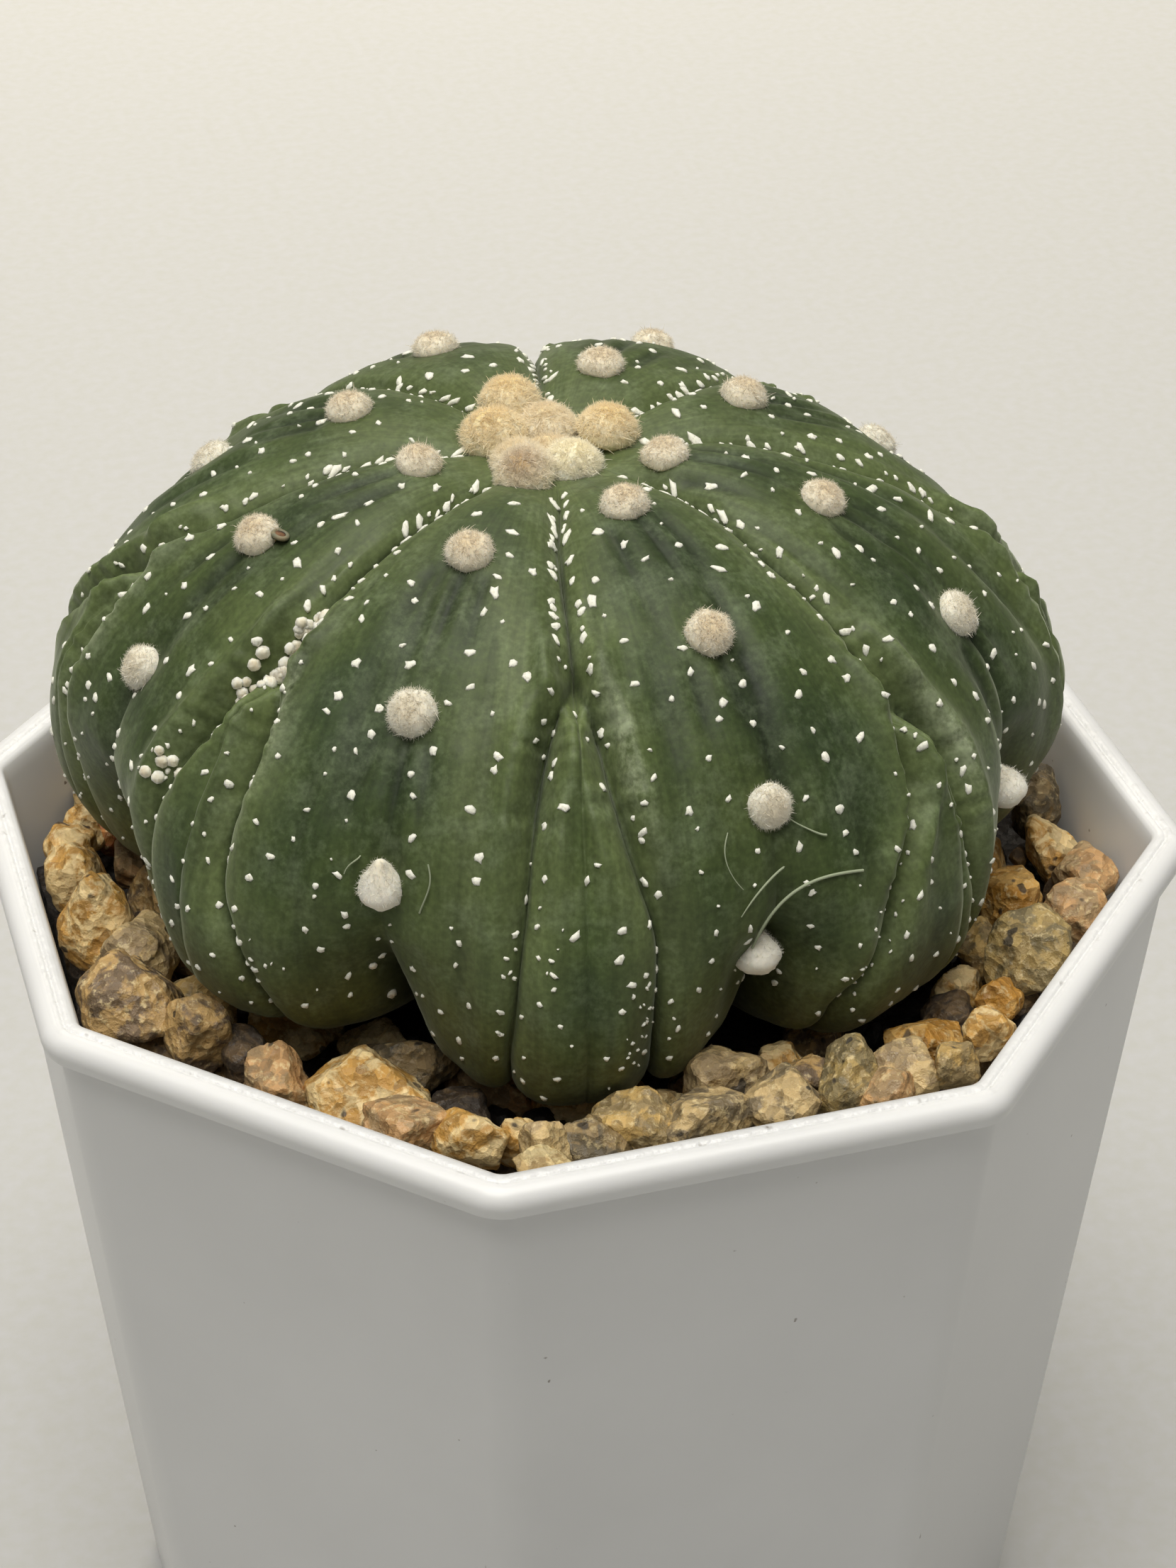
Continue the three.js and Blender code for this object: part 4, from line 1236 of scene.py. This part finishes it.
# Stray fibres: each runs through five places on the skin, given by lobe, across, along and lift
STRAY_FIBRES = [
    [(0, 0.84, 44.4, 0.2), (0, 0.87, 41.6, 0.5), (1, -0.98, 39.3, 1), (1, -0.84, 39.5, 0.5),
     (1, -0.6, 40, 0.1)],
    [(0, 0.76, 40.9, 0.1), (0, 0.82, 39.8, 0.3), (0, 0.87, 38.7, 0.4), (0, 0.96, 38.2, 0.5),
     (1, -0.97, 38.1, 0.7)],
    [(0, 0.73, 35, 0.2), (0, 0.69, 35.8, 0.2), (0, 0.68, 36.6, 0.2), (0, 0.71, 37.8, 0.2),
     (0, 0.75, 38.8, 0.1)],
    [(1, -0.91, 35.2, 0.3), (1, -0.87, 35.7, 0.3), (1, -0.83, 36.2, 0.3), (1, -0.79, 36.7, 0.3),
     (1, -0.74, 37.1, 0.1)],
    [(0, -0.75, 36.2, 0.2), (0, -0.72, 37, 0.4), (0, -0.72, 37.8, 0.4), (0, -0.75, 38.7, 0.3),
     (0, -0.79, 39.7, 0.1)],
    [(7, 0.83, 38.6, 0.2), (7, 0.85, 38, 0.3), (7, 0.86, 37.6, 0.3), (7, 0.88, 37.2, 0.3),
     (7, 0.9, 36.9, 0.1)],
]
STRAY_FIBRE_RADII = (0.1, 0.09, 0.06, 0.09, 0.07, 0.07)
DISC_RADIUS = 0.48
DISCS = ((-0.91, 20.6, 0.4), (-0.84, 20.3, 0.7))  # across and along the lobe on the left, and lean


def dried_scraps(surface):
    """Stray pale fibres round the lower areoles, and two withered discs beside one areole."""
    scraps = []
    draw = random.Random(90)
    for places, radius in zip(STRAY_FIBRES, STRAY_FIBRE_RADII):
        bpy.ops.curve.primitive_nurbs_path_add()
        curve = bpy.context.object.data
        for control, (lobe, across, along, lift) in zip(curve.splines[0].points, places):
            point, normal, _ = seat_on(surface, lobe, across, along)
            kink = Vector([draw.gauss(0, 0.14) for _ in range(3)])
            control.co = (*(point + lift * normal + kink), 1)
            control.radius = draw.uniform(0.35, 1.15)
        curve.bevel_depth = radius
        curve.bevel_resolution = 1
        curve.use_fill_caps = True
        curve.splines[0].resolution_u = 8
        bpy.ops.object.convert(target="MESH")
        paint(bpy.context.object.data, "withered", 0)
        scraps.append(bpy.context.object)
    for across, along, lean in DISCS:
        point, normal, down = seat_on(surface, LEFT_LOBE, across, along)
        bpy.ops.mesh.primitive_torus_add(
            major_segments=20, minor_segments=8, major_radius=DISC_RADIUS, minor_radius=0.17)
        ring = bpy.context.object
        paint(ring.data, "withered", 0.6)
        bpy.ops.mesh.primitive_uv_sphere_add(segments=14, ring_count=8, radius=DISC_RADIUS)
        core = bpy.context.object
        paint(core.data, "withered", 1)
        core.data.transform(Matrix.Diagonal((1, 1, 0.35, 1)))
        disc = join([ring, core])
        tilt = frame_matrix(point + 0.35 * normal, normal, down, 0, (1, 1, 1))
        disc.data.transform(tilt @ Matrix.Rotation(lean, 4, "X"))
        disc.data.shade_smooth()
        scraps.append(disc)
    return join(scraps)


def plant():
    """The skin, and on it the flecks, the wool of the areoles and the crown, and dried scraps."""
    skin = plant_skin()
    surface = BVHTree.FromObject(skin, bpy.context.evaluated_depsgraph_get())
    flecks = felt_flecks(surface)
    hairs = hair_templates()
    areoles = join(areole_wool(surface, hairs) + crease_wool(surface, hairs))
    crown = crown_wool(hairs)
    discard(hairs)
    scraps = dried_scraps(surface)
    wool = wool_material()
    settle(skin, "plant_skin", skin_material(), "cactus_skin", "cactus_body")
    settle(flecks, "felt_flecks", felt_material(), "cactus_skin", "cactus_body")
    settle(areoles, "areole_wool", wool, "crown_wool", "cactus_body")
    settle(crown, "crown_fleece", wool, "crown_wool", "crown_wool")
    settle(scraps, "dried_scraps", straw_material(), "cactus_skin", "cactus_body")


# Radius of the root and height from the rim, from its top to its tip
ROOT_PROFILE = [(9, -4), (8.8, -5), (8.4, -8), (7.2, -12), (5, -17), (2.5, -21.4)]


def tap_root():
    """The stout root, drawn down ring by ring and roughened."""
    rings = [(radius, POT_HEIGHT + height) for radius, height in ROOT_PROFILE]
    bpy.ops.mesh.primitive_circle_add(
        vertices=32, radius=rings[0][0], fill_type="NGON", location=(PLANT_X, PLANT_Y, rings[0][1]))
    bpy.ops.object.transform_apply(location=True)
    start_editing()
    draw_up(rings, PLANT_X, PLANT_Y)
    end_editing()
    root = bpy.context.object
    apply_modifier(root, "SUBSURF", levels=2, render_levels=2)
    apply_modifier(root, "DISPLACE", texture=clouds("root_bark", 2.5), strength=0.5, mid_level=0.7)
    root.data.shade_smooth()
    settle(root, "tap_root", root_material(), "potting_mix", "cactus_body")


# Gravel. Each tone is a stone's main colour and the colour of its crust.

TONES = {
    "cream": ("#cdb988", "#a98f60"),
    "gold": ("#b58a45", "#d9bf8a"),
    "ochre": ("#b07f33", "#cfa35a"),
    "rust": ("#9a5a2a", "#b97a38"),
    "pink": ("#b89060", "#9b815c"),
    "buff": ("#c2a876", "#a08a66"),
    "tan": ("#8f7b53", "#bd9d5f"),
    "brown": ("#725f48", "#b0905c"),
    "dark": ("#463b2f", "#6a563c"),
    "grey": ("#5f543f", "#8a7550"),
    "quartz": ("#7a6b50", "#b89f70"),
    "olive": ("#7d6f4c", "#a78f5a"),
    # From here the tones are painted shade: the stones under the others, the grit between them and
    # the bed are dark to stand for the shade in the gaps
    "coarse": ("#4a3a28", "#6b5432"),
    "brown grit": ("#2c2218", "#463626"),
    "black grit": ("#15110d", "#251d15"),
    "pale grit": ("#4c3a22", "#6b5230"),
    "bed": ("#17110c", "#261c13"),
}
UNSEEN_TONES = ["gold", "buff", "tan", "grey", "ochre", "pink", "brown", "cream"]
GRIT_TONES = ["brown grit", "black grit", "pale grit"]
GRIT_COUNT = 520
GRIT_CLEARANCE = 1.4  # least distance of the grit's middle from the pot's wall
STONE_SPREAD = 997  # spreads a stone's random share over the templates
UNDER_ROOM = 1.2  # height left under a stone that calls for another below it
# Painted shade: under the plant all the grit is black
SHADED = 29  # distance from the pot's axis within which all the grit is black


def crushed_stones(count, cell, seed):
    """Stones one unit in half size: a ball cut by planes, its edges worn, its faces chipped."""
    chips = bpy.data.textures.new("stone_chips", "VORONOI")
    chips.noise_scale = 0.5
    templates = []
    for index in range(count):
        draw = random.Random(seed + index)
        bpy.ops.mesh.primitive_ico_sphere_add(subdivisions=3, radius=1.2)
        stone = bpy.context.object
        bpy.ops.object.mode_set(mode="EDIT")
        for _ in range(draw.randint(9, 13)):
            direction = Vector([draw.gauss(0, 1) for _ in range(3)]).normalized()
            bpy.ops.mesh.select_all(action="SELECT")
            bpy.ops.mesh.bisect(
                plane_co=direction * draw.uniform(0.66, 0.95), plane_no=direction,
                use_fill=True, clear_outer=True)
        bpy.ops.object.mode_set(mode="OBJECT")
        apply_modifier(stone, "REMESH", mode="VOXEL", voxel_size=cell)
        apply_modifier(stone, "DISPLACE", texture=clouds("stone_lumps", 0.7), strength=0.2,
                       mid_level=0.5)
        apply_modifier(stone, "DISPLACE", texture=chips, strength=0.14, mid_level=0.4)
        stone.data.shade_smooth()
        templates.append(stone)
    return templates


def laid_stone(template, tone, azimuth, distance, height, width, tall, turn):
    """A copy of a stone at an azimuth in the pot, given its breadth across the wall and height."""
    angle = math.radians(azimuth)
    matrix = (Matrix.Translation(around(angle, distance, POT_HEIGHT + height))
              @ Matrix.Rotation(angle, 4, "Z")
              @ Matrix.Diagonal((0.44 * width, 0.54 * width, 0.54 * tall, 1))
              @ turn.to_matrix().to_4x4())
    main, crust = TONES[tone]
    return copy_of(template, matrix, tone=colour(main), vein=colour(crust))


def stone_places():
    """The seen stones, then the rings of others, drawn as in the solid."""
    draw = make_random(STONE_SEED)

    def shape():
        turn = Euler([6.3 * draw() for _ in range(3)])
        return turn, [draw() for _ in range(12)][-1]

    stones = [(*stone, *shape()) for stone in SEEN_STONES]
    seen = [around(math.radians(stone[0]), stone[1]) for stone in SEEN_STONES]
    for wall_distance, height, spacing in STONE_RINGS:
        count = math.floor(2 * math.pi * wall_distance / spacing + 0.5)
        for i in range(count):
            azimuth = (i + 0.3 * draw()) * 360 / count - 180
            distance = wall_distance / math.cos(off_flat(azimuth)) + draw() - 0.5
            width = 4.4 + 2.2 * draw()
            level = height + 0.8 * (draw() - 0.5)
            place = around(math.radians(azimuth), distance)
            if min((place - other).length for other in seen) >= STONE_CLEARANCE:
                turn, share = shape()
                tone = UNSEEN_TONES[int(share * len(UNSEEN_TONES))]
                stones.append((azimuth, distance, level, width, 0.8 * width, tone, turn, share))
    return stones


def gravel():
    """The stones of the top dressing, with darker ones under them and grit between, both dark as
    painted shade for the gaps.

    What lies under and between them is cut far coarser, as little of it shows.
    """
    stones = crushed_stones(10, 0.14, 500)
    coarse = crushed_stones(5, 0.5, 600)
    draw = random.Random(STONE_SEED)

    def any_turn():
        return Euler([draw.uniform(0, ANY_TURN) for _ in range(3)])

    top, lower = [], []
    for azimuth, distance, height, width, tall, tone, turn, share in stone_places():
        stone = stones[int(share * STONE_SPREAD) % len(stones)]
        top.append(laid_stone(stone, tone, azimuth, distance, height, width, tall, turn))
        underside = height - tall / 2
        # Each high stone gets a darker one under it, its tone painted shade
        if underside > UNDER_ROOM - GRAVEL_BED_DEPTH:
            turn = any_turn()
            below = (azimuth + draw.uniform(-3, 3), distance - draw.uniform(0, 1),
                     (underside - GRAVEL_BED_DEPTH) / 2)
            lower.append(laid_stone(draw.choice(coarse), "coarse", *below, width, tall, turn))
    inside = wall_inside(POT_HEIGHT - GRAVEL_BED_DEPTH) - GRIT_CLEARANCE
    for _ in range(GRIT_COUNT):
        azimuth = draw.uniform(-180, 180)
        distance = min(draw.uniform(12, 37), inside / math.cos(off_flat(azimuth)) - 0.5)
        size = draw.uniform(1.4, 2.8)
        heap = 1.7 * float(smoothstep(28, 37, distance))
        turn = any_turn()
        height = draw.uniform(-8.6, -7.9) + heap
        # Painted shade: the grit under the plant is black, the rest dark
        tone = GRIT_TONES[1 if distance < SHADED else draw.randrange(3)]
        lower.append(laid_stone(
            draw.choice(coarse), tone, azimuth, distance, height, size, size, turn))
    discard(stones + coarse)
    material = stone_material()
    settle(join(top), "gravel_stones", material, "gravel_stone", "gravel")
    settle(join(lower), "grit_between", material, "gravel_stone", "gravel")


def filling(bottom, top, lumps, depth):
    """An octagonal filling between two heights in the pot, with a rough surface."""
    mass = draw_octagon([(wall_inside(height) - GAP, height) for height in (bottom, top)])
    apply_modifier(mass, "REMESH", mode="VOXEL", voxel_size=depth)
    apply_modifier(mass, "DISPLACE", texture=lumps, strength=depth, mid_level=0.95)
    mass.data.shade_smooth()
    return mass


def gravel_bed():
    """The bed that the stones lie in, of fine damp grit, painted near black as the shade in the
    gaps between the stones.
    """
    bed = filling(POT_HEIGHT - SOIL_DEPTH + GAP, POT_HEIGHT - GRAVEL_BED_DEPTH,
                  clouds("bed_lumps", 1.2), 0.8)
    for name, shade in zip(("tone", "vein"), TONES["bed"]):
        paint(bed.data, name, colour(shade))
    settle(bed, "grit_bed", stone_material(), "gravel_stone", "gravel")


def potting_mix():
    """The crumbly mix that fills the pot under the gravel."""
    mix = filling(FLOOR_THICKNESS + GAP, POT_HEIGHT - SOIL_DEPTH, clouds("crumbs", 1.8), 1.3)
    settle(mix, "bark_and_peat_mix", mix_material(), "potting_mix", "potting_mix")


# Camera, light and floor

LENS = 82.39  # on a 36 mm long side
CAMERA_ELEVATION = math.radians(33.91)
CAMERA_TURN = math.radians(-16.84)  # round the pot from a view along +Y
CAMERA_DISTANCE = 251.7  # from the middle of the rim
CAMERA_SIDE = 1.257  # how far the rim's middle lies off the view's middle
CAMERA_RISE = 1.036
CAMERA_ROLL = math.radians(0.209)
BACKDROP_SPREAD = math.radians(105)  # keeps that lamp's light on the floor behind the pot
FLOOR_RADIUS = 4
AIR_STRENGTH = 0.14


def camera():
    """The photograph's view of the pot."""
    side = Vector((1, 0, 0))
    ahead = Vector((0, math.cos(CAMERA_ELEVATION), -math.sin(CAMERA_ELEVATION)))
    up = side.cross(ahead)
    place = -ahead * CAMERA_DISTANCE + side * CAMERA_SIDE + up * CAMERA_RISE
    turn = Matrix.Rotation(CAMERA_TURN, 3, "Z")
    axes = turn @ Matrix((side, up, -ahead)).transposed() @ Matrix.Rotation(CAMERA_ROLL, 3, "Z")
    lens = bpy.data.cameras.new("camera")
    lens.lens = LENS
    lens.sensor_width = 36
    lens.clip_start = 0.01
    viewer = bpy.data.objects.new("camera", lens)
    bpy.context.collection.objects.link(viewer)
    middle = Vector((0, 0, POT_HEIGHT))
    viewer.matrix_world = Matrix.Translation((turn @ place + middle) * MM) @ axes.to_4x4()
    bpy.context.scene.camera = viewer


def area_light(name, size, strength, tint, place, target, spread=math.pi):
    """A round lamp, in metres and watts, turned to a target."""
    lamp = bpy.data.lights.new(name, "AREA")
    lamp.shape = "DISK"
    lamp.spread = spread
    lamp.size = size
    lamp.energy = strength
    lamp.color = colour(tint)[:3]
    light = bpy.data.objects.new(name, lamp)
    bpy.context.collection.objects.link(light)
    light.location = place
    light.rotation_euler = (Vector(target) - Vector(place)).to_track_quat("-Z", "Y").to_euler()


def studio():
    """A pale floor, soft lamps overhead, in front and behind, and a faint even fill."""
    bpy.ops.mesh.primitive_circle_add(vertices=96, radius=FLOOR_RADIUS, fill_type="NGON")
    ground = bpy.context.object
    ground.name = "floor"
    ground.data.materials.append(floor_material())
    world = bpy.data.worlds.new("studio_air")
    bpy.context.scene.world = world
    world.use_nodes = True
    background = world.node_tree.nodes["Background"]
    background.inputs["Color"].default_value = colour("#f4f4f0")
    background.inputs["Strength"].default_value = AIR_STRENGTH
    area_light("overhead", 0.8, 9.6, "#fffcf6", (-0.1, -0.08, 0.93), (0, 0, 0.08))
    area_light("front", 0.6, 1, "#fffdf9", (-0.25, -0.6, 1), (0, 0, 0.08))
    area_light("backdrop", 0.5, 4.7, "#fff6e4", (0.12, 0.77, 0.8), (0.14, 0.76, 0), BACKDROP_SPREAD)
    bpy.context.scene.view_settings.view_transform = "Standard"


camera()
moulded_pot()
plant()
tap_root()
gravel()
gravel_bed()
potting_mix()
studio()
